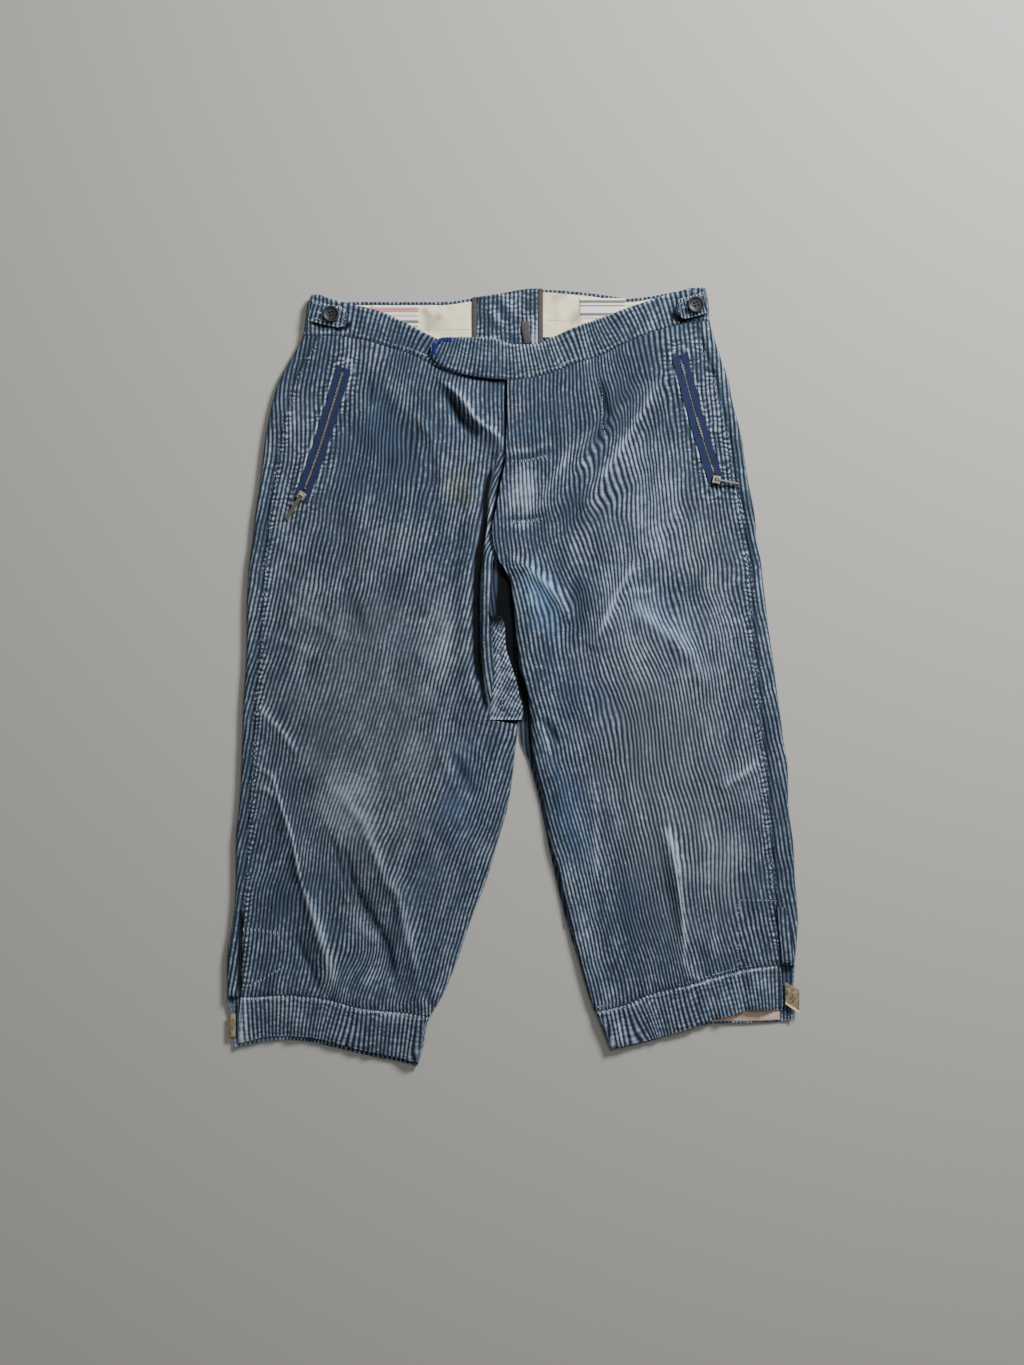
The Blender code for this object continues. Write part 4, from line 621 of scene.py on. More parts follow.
def wear_and_shading_at(leg, x, y):
    """How worn the cloth is, with painted light and shade in it, and the tint of each place.

    Wear is a base with slow and fine noise, some of it along the wales, plus each fold's wear times its
    bell, bells beside the side seam and round the zip, and each patch's wear within its ragged edge. A crest
    is pale as worn cloth and partly as a painted highlight. Below nought the cloth is darkened as painted
    shade, where it lies in a gap or deep in a crease.
    """
    grain = grain_at(leg, x, y)
    wear = 0.17 + 0.10 * noise(x, y, 70, 31) + 0.09 * noise(x, y, 18, 32)
    wear = wear + 0.14 * noise(grain, 0.25 * y, 11, 36) + 0.09 * noise(grain - 0.5 * y, 0.3 * y, 9, 37)
    for table in (leg.folds, leg.creases):
        for fold, bell in fold_bells(table, x, y):
            wear = wear + fold.wear * bell * (1 + 0.35 * noise(x, y, 9, 33))
    _, side, _ = seam_gap(leg, x, y)
    gap, _ = path_distance(ZIP_PATHS[leg.name], x, y)
    ring = gap - TAPE_WIDTH / 2
    wear = wear + 0.10 * near(side, 8) - 0.35 * near(side, 1.6) - 0.3 * near(np.abs(side) - 2.6, 1.6)
    wear = wear + (0.5 + 0.5 * noise(x, y, 4, 34)) * near(ring - 1.8, 1.4) - 0.35 * near(ring - 4.8, 1.6)
    wear = wear + 0.16 * ramp(ring, 34, 8) * (0.5 + 0.5 * noise(x, y, 11, 35))
    tint = np.zeros(np.shape(x) + (4,))
    for patch in PATCHES:
        turn = math.radians(patch.turn)
        dx, dy = x - patch.x, y - patch.y
        across = (dx * math.cos(turn) + dy * math.sin(turn)) / patch.across
        along = (dy * math.cos(turn) - dx * math.sin(turn)) / patch.along
        ragged = 0.2 * noise(x, y, 22, 41) + 0.15 * noise(x, y, 9, 42)
        inside = 1 - ramp(np.hypot(across, along) + ragged, 0.2, 1.3)
        wear = wear + patch.wear * inside
        share = (patch.share * inside)[..., None]
        tint[..., :3] = tint[..., :3] * (1 - share) + share * np.array(linear(patch.tint))
        tint[..., 3:] = tint[..., 3:] * (1 - share) + share
    tint[..., :3] = tint[..., :3] / np.maximum(tint[..., 3:], 1e-6)
    if leg.name == "left":
        rim = near(x - edge(leg.outline, "inner", y) - 1.2, 1.3)
        wear = wear + 0.35 * rim * ramp(y, 122, 108) * ramp(y, -110, -40)
    if leg.name == "right":
        # Painted shade along each gap, under the lap tab and in the slits
        for gap_shade in GAP_SHADES:
            away, share = path_distance(gap_shade.path, x, y)
            ends = ramp(np.minimum(share, 1 - share), 0, 0.06)
            wear = wear - gap_shade.strength * near(away, gap_shade.width) * ends
    return np.clip(wear, -1, 1.2), tint


def level(y, x, top_shift, low_shift):
    """Moves nominal rows so that the first follows the waist seam and the last the knee seam."""
    upper = ramp(y, WAIST_LEVEL_Y, WAIST_Y)
    lower = ramp(y, KNEE_LEVEL_Y, KNEE_Y)
    return y + top_shift(x) * upper + low_shift(x) * lower


def waist_shift(x):
    """How far the fronts' waist seam lies from its nominal height."""
    return line_at(WAIST_SEAM, x) - SEAM_GAP / 2 - WAIST_Y


def knee_shift(leg):
    """How far the knee seam lies from its nominal height, as a function of x."""
    return lambda x: line_at(leg.knee_seam, x) + SEAM_GAP / 2 - KNEE_Y


def back_shift(leg):
    """The backs' waist seam: level on the right, and rising to the side seam on the left."""
    low = waist_shift(RIGHT_SIDE_X)
    if leg.name == "right":
        return lambda x: low + 0.0 * x
    return lambda x: low + (waist_shift(LEFT_SIDE_X) - low) * np.clip(x / LEFT_SIDE_X, 0, 1)


def nominal_rows(columns):
    """Rows from waist to knee at an even pitch, with two moved to the step at the crotch."""
    rows = np.linspace(WAIST_Y, KNEE_Y, LEG_ROWS)
    for y in (CROTCH_Y + CROTCH_STEP / 2, CROTCH_Y - CROTCH_STEP):
        rows[np.argmin(np.abs(rows - y))] = y
    return rows[:, None] + np.zeros(columns)


def front_at(leg, y):
    """x and z of a front at the heights y: even columns from the side seam, then the rolled inner edge, an
    arc whose bend grows to a quarter turn where the edge rolls down."""
    lead, tail = FRONT_COLUMNS
    toward = leg.way
    inner_edge = edge(leg.outline, "inner", y)
    even = sum(edge(leg.outline, "inner", y + step) for step in EVEN_STEPS) / len(EVEN_STEPS)
    seam = edge(leg.outline, "seam", y) - toward * SEAM_GAP / 2
    seam = seam - toward * SLIT_OPENING * ramp(y, leg.slit_y, leg.slit_y - SLIT_FADE)
    inner = inner_edge + toward * SEAM_GAP / 2
    bend = np.maximum(ramp(y, *leg.front_roll) * (math.pi / 2 - TURN_GAP), 1e-3)
    height = solid_height(leg, inner + toward * EDGE_PROBE, y)
    length = np.where(bend > LEAST_BEND, height * math.pi / 4, ROLL_STUB)
    radius = length / bend
    start = inner + toward * radius * np.sin(bend)
    reach = np.linspace(0, 1, lead)
    lead_x = seam[:, :lead] + (start + even - inner_edge - seam)[:, :lead] * reach
    lead_x = lead_x + (inner_edge - even)[:, :lead] * reach ** 8
    share = np.linspace(0, 1, tail + 1)[1:]
    tail_x = start[:, lead:] - toward * radius[:, lead:] * np.sin(bend[:, lead:] * share)
    tail_z = height[:, lead:] - radius[:, lead:] * (1 - np.cos(bend[:, lead:] * share))
    flat = bend[:, lead:] <= LEAST_BEND
    tail_z = np.where(flat, upper_height(leg, tail_x, y[:, lead:]), tail_z)
    x = np.hstack([lead_x, tail_x])
    z = np.hstack([upper_height(leg, lead_x, y[:, :lead]), tail_z])
    return x, z


def front_points(leg):
    """A front panel's outer points, by rows and columns, as its solid has them but finer."""
    nominal = nominal_rows(sum(FRONT_COLUMNS))
    x, _ = front_at(leg, nominal)
    y = level(nominal, x, waist_shift, knee_shift(leg))
    x, z = front_at(leg, y)
    return np.dstack([x, y, z])


def back_inner(leg, y):
    """A back's inner edge: the centre-back seam, and below the crotch the inner leg."""
    centre = CENTRE_BACK_X + (CROTCH_BACK_X - CENTRE_BACK_X) * (WAIST_Y - y) / (WAIST_Y - CROTCH_Y)
    low = edge(leg.outline, "inner", y)
    if leg.name == "left":
        low = np.where(y > LEFT_BACK_INNER[-1][0], line_at(LEFT_BACK_INNER, y), low)
    return np.where(y > CROTCH_Y, centre, low)


def back_at(leg, y):
    """x and z of a back at the heights y: straight over the top, a half circle round the outer edge, straight
    along the floor, and an arc up at the inner edge."""
    top, turn, floor, rise = BACK_COLUMNS
    ends = np.cumsum(BACK_COLUMNS)
    way = leg.way
    outer = edge(leg.outline, "outer", y)
    seam = edge(leg.outline, "seam", y) + way * SEAM_GAP / 2
    inner = back_inner(leg, y) + way * SEAM_GAP / 2
    radius = solid_height(leg, outer - way * EDGE_PROBE, y) / 2
    foot = outer - way * radius
    share = np.linspace(0, 1, top, endpoint=False)
    top_x = (seam + (foot - seam) * np.pad(share, (0, sum(BACK_COLUMNS) - top)))[:, :top]
    low = y[:, :top]
    top_z = solid_height(leg, top_x, low) + small_relief(leg, top_x, low) * (1 - share)
    angle = math.pi * (1 - np.linspace(0, 1, turn))
    middle = slice(ends[0], ends[1])
    turn_x = foot[:, middle] + way * radius[:, middle] * np.sin(angle)
    turn_z = radius[:, middle] * (1 - np.cos(angle))
    bend = np.maximum(ramp(y, *leg.back_roll) * (math.pi / 2 - TURN_GAP), 1e-3)
    turning = solid_height(leg, inner + way * EDGE_PROBE, y) * math.pi / 4 / bend
    inner_foot = inner + way * turning * np.sin(bend)
    under = slice(ends[1], ends[2])
    floor_x = foot[:, under] + (inner_foot - foot)[:, under] * np.linspace(0, 1, floor + 1)[1:]
    last = slice(ends[2], ends[3])
    curl = bend[:, last] * np.linspace(0, 1, rise + 1)[1:]
    rise_x = inner_foot[:, last] - way * turning[:, last] * np.sin(curl)
    rise_z = turning[:, last] * (1 - np.cos(curl))
    x = np.hstack([top_x, turn_x, floor_x, rise_x])
    z = np.hstack([top_z, turn_z, 0 * floor_x, rise_z])
    return x, z


def back_points(leg):
    """A back panel's outer points, in the same rows as the front's."""
    nominal = nominal_rows(sum(BACK_COLUMNS))
    x, _ = back_at(leg, nominal)
    y = level(nominal, x, back_shift(leg), knee_shift(leg))
    x, z = back_at(leg, y)
    return np.dstack([x, y, z])


def split_arc(line, upper):
    """A back's row cut where it turns upright at the outer edge: the part above the cut or below it."""
    place = line[BACK_CUT].copy()
    if upper:
        place[2] += SEAM_GAP / 2
        return np.concatenate([line[:BACK_CUT], [place]])
    place[2] -= SEAM_GAP / 2
    return np.concatenate([[place], line[BACK_CUT + 1:]])


# Shares of a band's width where its rows lie, closer at the seam and at the hem
BAND_ROWS = (0, 0.02, 0.045, 0.075, 0.11, 0.16, 0.23, 0.31, 0.4, 0.5, 0.6, 0.7, 0.8, 0.88, 0.94, 0.975, 1)


def band_points(line, gap, left, right, far, height=None):
    """A band sewn to a panel: the panel's last row, moved off by the seam gap and drawn to the far edge.

    left and right give the band's ends as functions of y, which its columns follow. Where a height
    function is given, the flat columns keep their distance from it.
    """
    x, y, z = line[:, 0], line[:, 1] + gap, line[:, 2]
    share = (x - left(y)) / (right(y) - left(y))
    flat = ramp(np.minimum(x - x.min(), x.max() - x), 4.5, 16)
    made = []
    for v in BAND_ROWS:
        to_x = x
        for _ in range(4):
            to_y = y + (far(to_x) - y) * v
            to_x = left(to_y) + share * (right(to_y) - left(to_y))
        to_z = z if height is None else z + flat * (height(to_x, to_y) - height(x, y))
        made.append(np.stack([to_x, to_y, to_z], axis=1))
    return np.array(made)


def band_relief(points, seed, valley=1.3, lip=1.2):
    """Lifts a band out of the seam's valley, puckers it there, and rounds its far edge."""
    run = np.hypot(*(points[..., :2] - points[:1, :, :2]).transpose(2, 0, 1))
    x = points[..., 0]
    steep = ramp(np.abs(np.gradient(points[0, :, 2]) / np.gradient(points[0, :, 0])), 1.2, 0.5)
    lift = valley * (1 - near(run, 2.2))
    wave = puckers(x, run, 9, 0.9, seed) - puckers(x, 0 * run, 9, 0.9, seed)
    wave = wave + 0.5 * noise(x, run * 1.4, 16, seed + 1) * ramp(run, 0, 9)
    width = run[-1:, :]
    edge_drop = -lip * near(width - run, 1.6)
    raised = points.copy()
    raised[..., 2] += (lift + wave + edge_drop) * np.clip(steep, 0, 1)
    return raised, run


def round_end(points, end_x, length):
    """Draws the last stretch of a band together into a round end: a part of a half circle."""
    gap = np.clip(np.abs(points[..., 0] - end_x) / length, 0, 1)
    width = np.sqrt(np.clip(1 - (0.92 * (1 - gap)) ** 2, 0, 1))
    middle = points[..., 1].mean(axis=0)
    points[..., 1] = middle + (points[..., 1] - middle) * width
    return points


def normals_of(points, facing):
    """Normals of a grid that faces up or, with -1, down: the cross product of its two slopes."""
    normals = np.cross(np.gradient(points, axis=1), np.gradient(points, axis=0))
    return unit(-normals if normals[..., 2].sum() * facing < 0 else normals)


def inner_normals(points, facing):
    """The same, but square to the seam at each rim, so that two panels meet face to face."""
    normals = normals_of(points, facing)
    for row in (0, -1):
        normals[row, :, 1] = 0.0
    for column in (0, -1):
        steep = np.abs(normals[:, column, 0]) > np.abs(normals[:, column, 2])
        normals[:, column, 1] = 0.0
        normals[steep, column, 2] = 0.0
        normals[~steep, column, 0] = 0.0
    return unit(normals)


def wale_relief(grain, wear, pitch, depth):
    """Wales as a cosine across the grain, shallower where the pile is worn."""
    wave = 0.5 * np.cos(2 * np.pi * grain / pitch) - 0.5
    return depth * wave * (1 - 0.45 * np.clip(wear, 0, 1))


def arc_runs(points):
    """Running lengths across the columns and along the rows of a grid."""
    across = np.linalg.norm(np.diff(points, axis=1), axis=-1)
    along = np.linalg.norm(np.diff(points, axis=0), axis=-1)
    across = np.concatenate([np.zeros((points.shape[0], 1)), np.cumsum(across, axis=1)], axis=1)
    along = np.concatenate([np.zeros((1, points.shape[1])), np.cumsum(along, axis=0)], axis=0)
    return across, along


def surface_area(points):
    """Area of a grid, from the diagonals of its cells."""
    first = points[1:, 1:] - points[:-1, :-1]
    second = points[:-1, 1:] - points[1:, :-1]
    return 0.5 * np.linalg.norm(np.cross(first, second), axis=-1).sum()


def solid_mesh(name, places, faces, sharp):
    """A mesh of places in millimetres and faces, smooth but for its sharp edges."""
    mesh = bpy.data.meshes.new(name)
    mesh.from_pydata(metres(places).tolist(), [], faces)
    mesh.update()
    mesh.shade_smooth()
    mesh.set_sharp_from_angle(angle=math.radians(sharp))
    return mesh


def shell_mesh(name, outer, inner, step, facing):
    """A closed wall of cloth: the fine outer grid, an inner grid with one place in step, and the rim."""
    rows, columns = outer.shape[:2]
    under = inner[::step, ::step]
    top = np.arange(rows * columns).reshape(rows, columns)
    low = rows * columns + np.arange(under.shape[0] * under.shape[1]).reshape(under.shape[:2])
    quads = [np.stack([g[:-1, :-1], g[:-1, 1:], g[1:, 1:], g[1:, :-1]], axis=-1).reshape(-1, 4)
             for g in (top, low)]
    loops = [np.concatenate([g[0, :-1], g[:-1, -1], g[-1, :0:-1], g[:0:-1, 0], g[:1, 0]])
             for g in (top, low)]
    segments = np.arange(len(loops[1]) - 1)
    fine = segments[:, None] * step + np.arange(step, -1, -1)[None, :]
    rim = np.hstack([loops[0][fine], loops[1][:-1, None], loops[1][1:, None]])
    faces = quads[0].tolist() + quads[1][:, ::-1].tolist() + rim.tolist()
    turn = np.cross(outer[1:, :-1] - outer[:-1, :-1], outer[:-1, 1:] - outer[:-1, :-1])[..., 2].sum()
    if turn * facing > 0:
        faces = [face[::-1] for face in faces]
    return solid_mesh(name, np.concatenate([outer.reshape(-1, 3), under.reshape(-1, 3)]), faces, 60)


def give(mesh, name, kind, field, values):
    """Stores values, one for each vertex, as an attribute of the mesh."""
    layer = mesh.attributes.new(name, kind, "POINT")
    layer.data.foreach_set(field, np.ascontiguousarray(values, dtype=np.float32).ravel())


def inner_painted_shade(points, base):
    """Painted shade on the inner side, which lies between layers: black round the fork, else the base."""
    x, y = points[..., 0], points[..., 1]
    beside = near(x - edge(RIGHT_OUTLINE, "inner", y) - 3.0, 6.0)
    return base - 1.5 * near(np.hypot(x + 8, (y - 70) / 2.4), 50) * (1 - beside)


def give_cloth(mesh, step, grain, along, rungs, wear, tint, inside):
    """Stores the grain, the wear with its painted light and shade, and the tint of a grid on the outer and
    the inner side of its wall, with the painted shade of inside added on the inner side.
    """
    def both(values, change=None):
        """The values of the outer grid, and those of the inner one with the change added."""
        flat = values.reshape(-1, *values.shape[2:])
        inner = values if change is None else values + change
        return np.concatenate([flat, inner[::step, ::step].reshape(-1, *values.shape[2:])])

    place = np.dstack([grain, along, rungs + 0 * grain])
    give(mesh, "grain", "FLOAT_VECTOR", "vector", both(place))
    give(mesh, "wear", "FLOAT", "value", both(wear, inside))
    give(mesh, "tint", "FLOAT_COLOR", "color", both(tint))


# What a piece stands for: its solid's node, its material, the record's slot and what it lies on
Trade = namedtuple("Trade", "node material slot rests_on")


def finish_piece(mesh, trade, flat=None, area=None):
    """Makes the object of a piece, which rides on the garment and stands for its solid."""
    item = bpy.data.objects.new(mesh.name, mesh)
    bpy.context.scene.collection.objects.link(item)
    mesh.materials.append(material(trade.material))
    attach(item, "root")
    if trade.node:
        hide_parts(trade.node)
    if flat is not None:
        list(trade.rests_on)
    return item


def garment_piece(trade, points, grain, along, wear, tint=None, facing=1, wall=WALL, step=INNER_STEP,
                  relief=True, inside=-0.3, rungs=0.0):
    """A piece of cloth from its base surface: on corduroy the wales are raised along the normals, and the
    inner side is the base moved in by the wall. Neither side goes below the floor."""
    sizes = bpy.context.scene.breeches_sizes
    outer = points
    if relief:
        pitch = sizes.wale_pitch * 1000
        depth = sizes.wale_depth * 1000
        outer = points + wale_relief(grain, wear, pitch, depth)[..., None] * normals_of(points, facing)
    inner = points - wall * inner_normals(points, facing)
    outer, inner = (np.dstack([side[..., :2], np.maximum(side[..., 2:], 0.0)]) for side in (outer, inner))
    mesh = shell_mesh(trade.node + "_cloth", outer, inner, step, facing)
    tint = np.zeros(points.shape[:2] + (4,)) if tint is None else tint
    # inside adds painted shade to the inner side, which lies between layers
    give_cloth(mesh, step, grain, along, rungs, wear, tint, inner_painted_shade(points, inside))
    across_run, along_run = arc_runs(points)
    flat = [max(run.max() / 1000, LEAST_CUT) for run in (across_run[:, -1], along_run[-1])]
    return finish_piece(mesh, trade, flat, min(surface_area(points) * 1e-6, flat[0] * flat[1]))


def corduroy(node, rests_on):
    """What a piece of corduroy stands for."""
    return Trade(node, "corduroy", "corduroy", rests_on)


def plain_wear(points, base=0.2):
    """Even wear, plus a slow change from place to place."""
    return np.clip(base + 0.12 * noise(points[..., 0], points[..., 1], 28, 51), 0, 1)


def constant(value):
    """The value as a function of a place, unless it is one already."""
    return value if callable(value) else (lambda place, *other: np.full(np.shape(place), float(value)))


def outline_edge(outline, column):
    """An outline's column as a function of y."""
    return lambda y: edge(outline, column, y)


def band_edge(curve, shift=0.0):
    """A curved edge as a function of x, moved up by the shift."""
    return lambda x: line_at(curve, x) + shift


def legs():
    """The two fronts and the two backs, whose wear and tint fade out under the fronts."""
    for leg in LEGS.values():
        points = front_points(leg)
        x, y = points[..., 0], points[..., 1]
        wear, tint = wear_and_shading_at(leg, x, y)
        garment_piece(corduroy(leg.name + "_front", [leg.name + "_back"]), points, grain_at(leg, x, y), y,
                      wear, tint, rungs=rungs_at(leg, x, y))
        points = back_points(leg)
        across, _ = arc_runs(points)
        front_seam = edge(leg.outline, "seam", points[:, :1, 1])
        start = grain_at(leg, front_seam, points[:, :1, 1])
        y = points[..., 1]
        shown = 1 - ramp(across, 20, 40)
        wear, tint = wear_and_shading_at(leg, points[..., 0], y)
        tint = tint * shown[..., None]
        garment_piece(corduroy(leg.name + "_back", ["floor"]), points, start + leg.way * across, y,
                      wear * shown + 0.2 * (1 - shown), tint, facing=-1, step=1, relief=False,
                      rungs=rungs_at(leg, points[..., 0], y) * shown)


def gusset():
    """The gusset between the right front's inner seam and the left leg: it falls from the seam's height to
    its free edge's with a slight crown, and its wales run on the bias."""
    rows = np.linspace(FORK_TOP_Y, CROTCH_Y + CROTCH_STEP / 2, 73)[:, None] + np.zeros(33)
    share = np.linspace(0, 1, 33)[None, :]
    seam = edge(RIGHT_OUTLINE, "inner", rows) + SEAM_GAP / 2
    free = line_at(FORK_EDGE, rows)
    x = seam + (free - seam) * share
    leg = LEGS["right"]
    start = upper_height(leg, seam, rows)
    z = start + (FORK_EDGE_HEIGHT - start) * share ** 1.5 + FORK_CROWN * np.sin(share * math.pi)
    points = np.dstack([x, rows, z])
    grain = 1.2 * x - 0.6 * rows + 0.6 * noise(x, rows, 14, 24)
    wear, tint = wear_and_shading_at(leg, x, rows)
    # Its edges are worn pale, and its top is darkened as painted shade beside the black at the fork
    wear = wear + 0.12 + 0.3 * near(x - seam - 4, 1.4) + 0.25 * near(free - x, 2) - 1.4 * ramp(rows, 42, 60)
    wear = np.clip(wear + 0.4 * near(rows - rows.min() - 1, 1.5), -1, 1)
    garment_piece(corduroy("fork_piece", ["right_back"]), points, grain, 0.85 * rows + 0.52 * x,
                  wear + 0.25 * noise(x, rows, 6, 25), tint, rungs=0.6)


def band_piece(node, rests_on, points, relief_seed, facing=1, wall=WALL, lip=1.2, valley=1.3, base=0.2,
               rub=0.16, inside=-0.2):
    """A waistband or knee band. Its wales run square to its seam, so the grain is the run along the seam plus
    the sideways drift of each column. It is worn beside its seam and at its far edge."""
    raised, run = band_relief(points, relief_seed, valley, lip)
    across, _ = arc_runs(points)
    x, y = points[..., 0], points[..., 1]
    dx, dy = np.gradient(x[0]), np.gradient(y[0])
    slope = np.convolve(np.clip(dy * dx / (dx ** 2 + 0.01), -0.5, 0.5), np.full(15, 1 / 15), "same")
    foot = x - x[:1] + np.sign((y[-1] - y[0]).sum()) * slope * run
    flat = ramp(np.minimum(x[:1] - x[0].min(), x[0].max() - x[:1]), 0.5, 4)
    grain = across[:1] + np.sign(x[0, -1] - x[0, 0]) * flat * foot + 0.5 * noise(x, y, 24, 53)
    wear = plain_wear(points, base) + 0.35 * near(run[-1:] - run, 1.6)
    wear = wear + rub * (1 + 0.8 * noise(x, y, 6, 52)) * near(run - 2.8, 1.6) - 0.5 * valley * near(run, 0.9)
    wear = wear + 0.14 * noise(x, y, 12, 54)
    # Painted shadow under each side tab, painted light on the right hem's strip, and wear at the right knee
    # band's end
    for gap in BAND_PAINTED_LIGHT_AND_WEAR:
        away, share = path_distance(gap.path, x, y)
        wear = wear - gap.strength * near(away, gap.width) * ramp(np.minimum(share, 1 - share), 0, 0.08)
    # inside darkens the band's inner side as painted shade
    garment_piece(corduroy(node, rests_on), raised, grain, run, np.clip(wear, -1, 1.2), facing=facing,
                  wall=wall, inside=inside, rungs=0.35 + 0.4 * near(run, 7) + 0.4 * near(run[-1:] - run, 4))


def trimmed(line):
    """Drops columns evenly until the inner side can have every fourth of them."""
    spare = (len(line) - 1) % INNER_STEP
    keep = np.ones(len(line), bool)
    if spare:
        keep[np.linspace(3, len(line) - 4, spare).astype(int)] = False
    return line[keep]


def waistbands():
    """The front waistband's two halves, the left one with the lap tab, and the back's two halves."""
    right_leg, left_leg = LEGS["right"], LEGS["left"]
    fronts = [front_points(leg)[0] for leg in (right_leg, left_leg)]
    backs = [back_points(leg)[0] for leg in (right_leg, left_leg)]
    right_side = outline_edge(RIGHT_OUTLINE, "outer")
    left_side = outline_edge(LEFT_OUTLINE, "outer")
    right_fly = outline_edge(RIGHT_OUTLINE, "inner")
    line = np.concatenate([split_arc(backs[0], True)[::-1], fronts[0]])
    right = band_points(trimmed(line), SEAM_GAP, right_side, right_fly, band_edge(BAND_TOP_RIGHT))
    band_piece("right_waistband", ["back_waistband_right"], right, 61, wall=BAND_WALL, valley=0.8, base=0.14)

    tab_x = np.linspace(TAB_END_X, TAB_ROOT_X, 80)
    tab_y = line_at(WAIST_SEAM, tab_x) - SEAM_GAP / 2
    tab_top = solid_height(right_leg, tab_x, tab_y).max() + BAND_WALL + LAP_GAP
    tab = np.stack([tab_x, tab_y, 0 * tab_x + tab_top], axis=1)
    line = np.concatenate([tab, fronts[1][::-1], split_arc(backs[1], True)])
    left = band_points(trimmed(line), SEAM_GAP, constant(TAB_END_X), left_side, band_edge(BAND_TOP_LEFT))
    left = round_end(left, TAB_END_X, TAB_ROUND)
    band_piece("left_waistband", ["back_waistband_left", "right_waistband"], left, 62, wall=BAND_WALL,
               valley=0.8, base=0.18)

    centre = constant(CENTRE_BACK_X)
    for line, ends, node in ((backs[0], (right_side, centre), "back_waistband_right"),
                             (backs[1], (centre, left_side), "back_waistband_left")):
        band = band_points(trimmed(split_arc(line, False)), SEAM_GAP, *ends, band_edge(BACK_TOP))
        band_piece(node, ["floor"], band, 63, facing=-1, lip=0, valley=0)


def knee_bands():
    """The front and back of each knee band, which follow the leg's last row and its height."""
    hems = {
        "right": (band_edge(KNEE_HEM_RIGHT), band_edge(KNEE_HEM_RIGHT, -4.6)),
        "left": (band_edge(KNEE_HEM_LEFT), band_edge(KNEE_BACK_HEM_LEFT)),
    }
    for leg in LEGS.values():
        slit, outer, inner = (outline_edge(leg.outline, name) for name in ("seam", "outer", "inner"))
        front_ends = (slit, inner) if leg.name == "right" else (inner, slit)
        back_ends = (outer, inner) if leg.name == "right" else (inner, outer)
        hem, back_hem = hems[leg.name]
        line = trimmed(front_points(leg)[-1])
        band = band_points(line, -SEAM_GAP, *front_ends, hem, lambda x, y: solid_height(leg, x, y))
        # Each front band's inner side is darkened as painted shade, the right one's most
        band_piece("cuff_front_" + leg.name, ["cuff_back_" + leg.name], band, 64, rub=0.32, base=0.26,
                   inside=-0.9 if leg.name == "right" else -0.35)
        line = trimmed(split_arc(back_points(leg)[-1], False))
        band = band_points(line, -SEAM_GAP, *back_ends, back_hem)
        band_piece("cuff_back_" + leg.name, ["floor"], band, 65, facing=-1, lip=0, valley=0)


# A flat piece: its edges in x and y, the latter perhaps functions of x, the height of its underside, its
# wall, its material, slot and what it lies on, and the height of its wrinkles
FlatPiece = namedtuple("FlatPiece", "node left right low high bottom wall trade wrinkle")


def flat_grid(piece, columns, rows):
    """Upper surface of a flat piece: even steps between its edges, at its height plus soft wrinkles."""
    u = np.linspace(0, 1, columns)[None, :]
    v = np.linspace(0, 1, rows)[:, None]
    x = piece.left + (piece.right - piece.left) * (u + 0 * v)
    low, high = constant(piece.low)(x), constant(piece.high)(x)
    y = low + (high - low) * v
    z = piece.bottom + piece.wall + piece.wrinkle * noise(x + 0.4 * y, y - 0.4 * x, 13, 71)
    return np.dstack([x, y, z])


def flat_piece(piece):
    """A flat piece of cloth as a closed wall, a little lower at its rim, and worn in cloudy patches that
    below nought darken it as painted shade.
    """
    columns = 4 * max(3, round((piece.right - piece.left) / 4)) + 1
    points = flat_grid(piece, columns, 33)
    across, along = arc_runs(points)
    rim = np.minimum.reduce([across, across[:, -1:] - across, along, along[-1:] - along])
    points[..., 2] -= 0.4 * near(rim, 0.8)
    trade = Trade(piece.node, *piece.trade)
    cord = piece.trade[0] == "corduroy"
    x, y = points[..., 0], points[..., 1]
    # Diagonal streaks of noise: wear where above nought, painted shade of wrinkles where below
    wear = plain_wear(points) + 0.6 * noise(x + 0.7 * y, 0.5 * y - 0.5 * x, 10, 55)
    grain = across - across[:, -1:] / 2 + 0.6 * noise(x, y, 9, 56)
    garment_piece(trade, points, grain, along, wear, wall=piece.wall, relief=cord, rungs=0.8)


# The hanging loop's path in x and y, its width and its thickness
LOOP_PATH = ((12.8, 359.8), (12.6, 352), (14, 345), (16, 338))
LOOP_WIDTH = 7.5
LOOP_WALL = 1.1


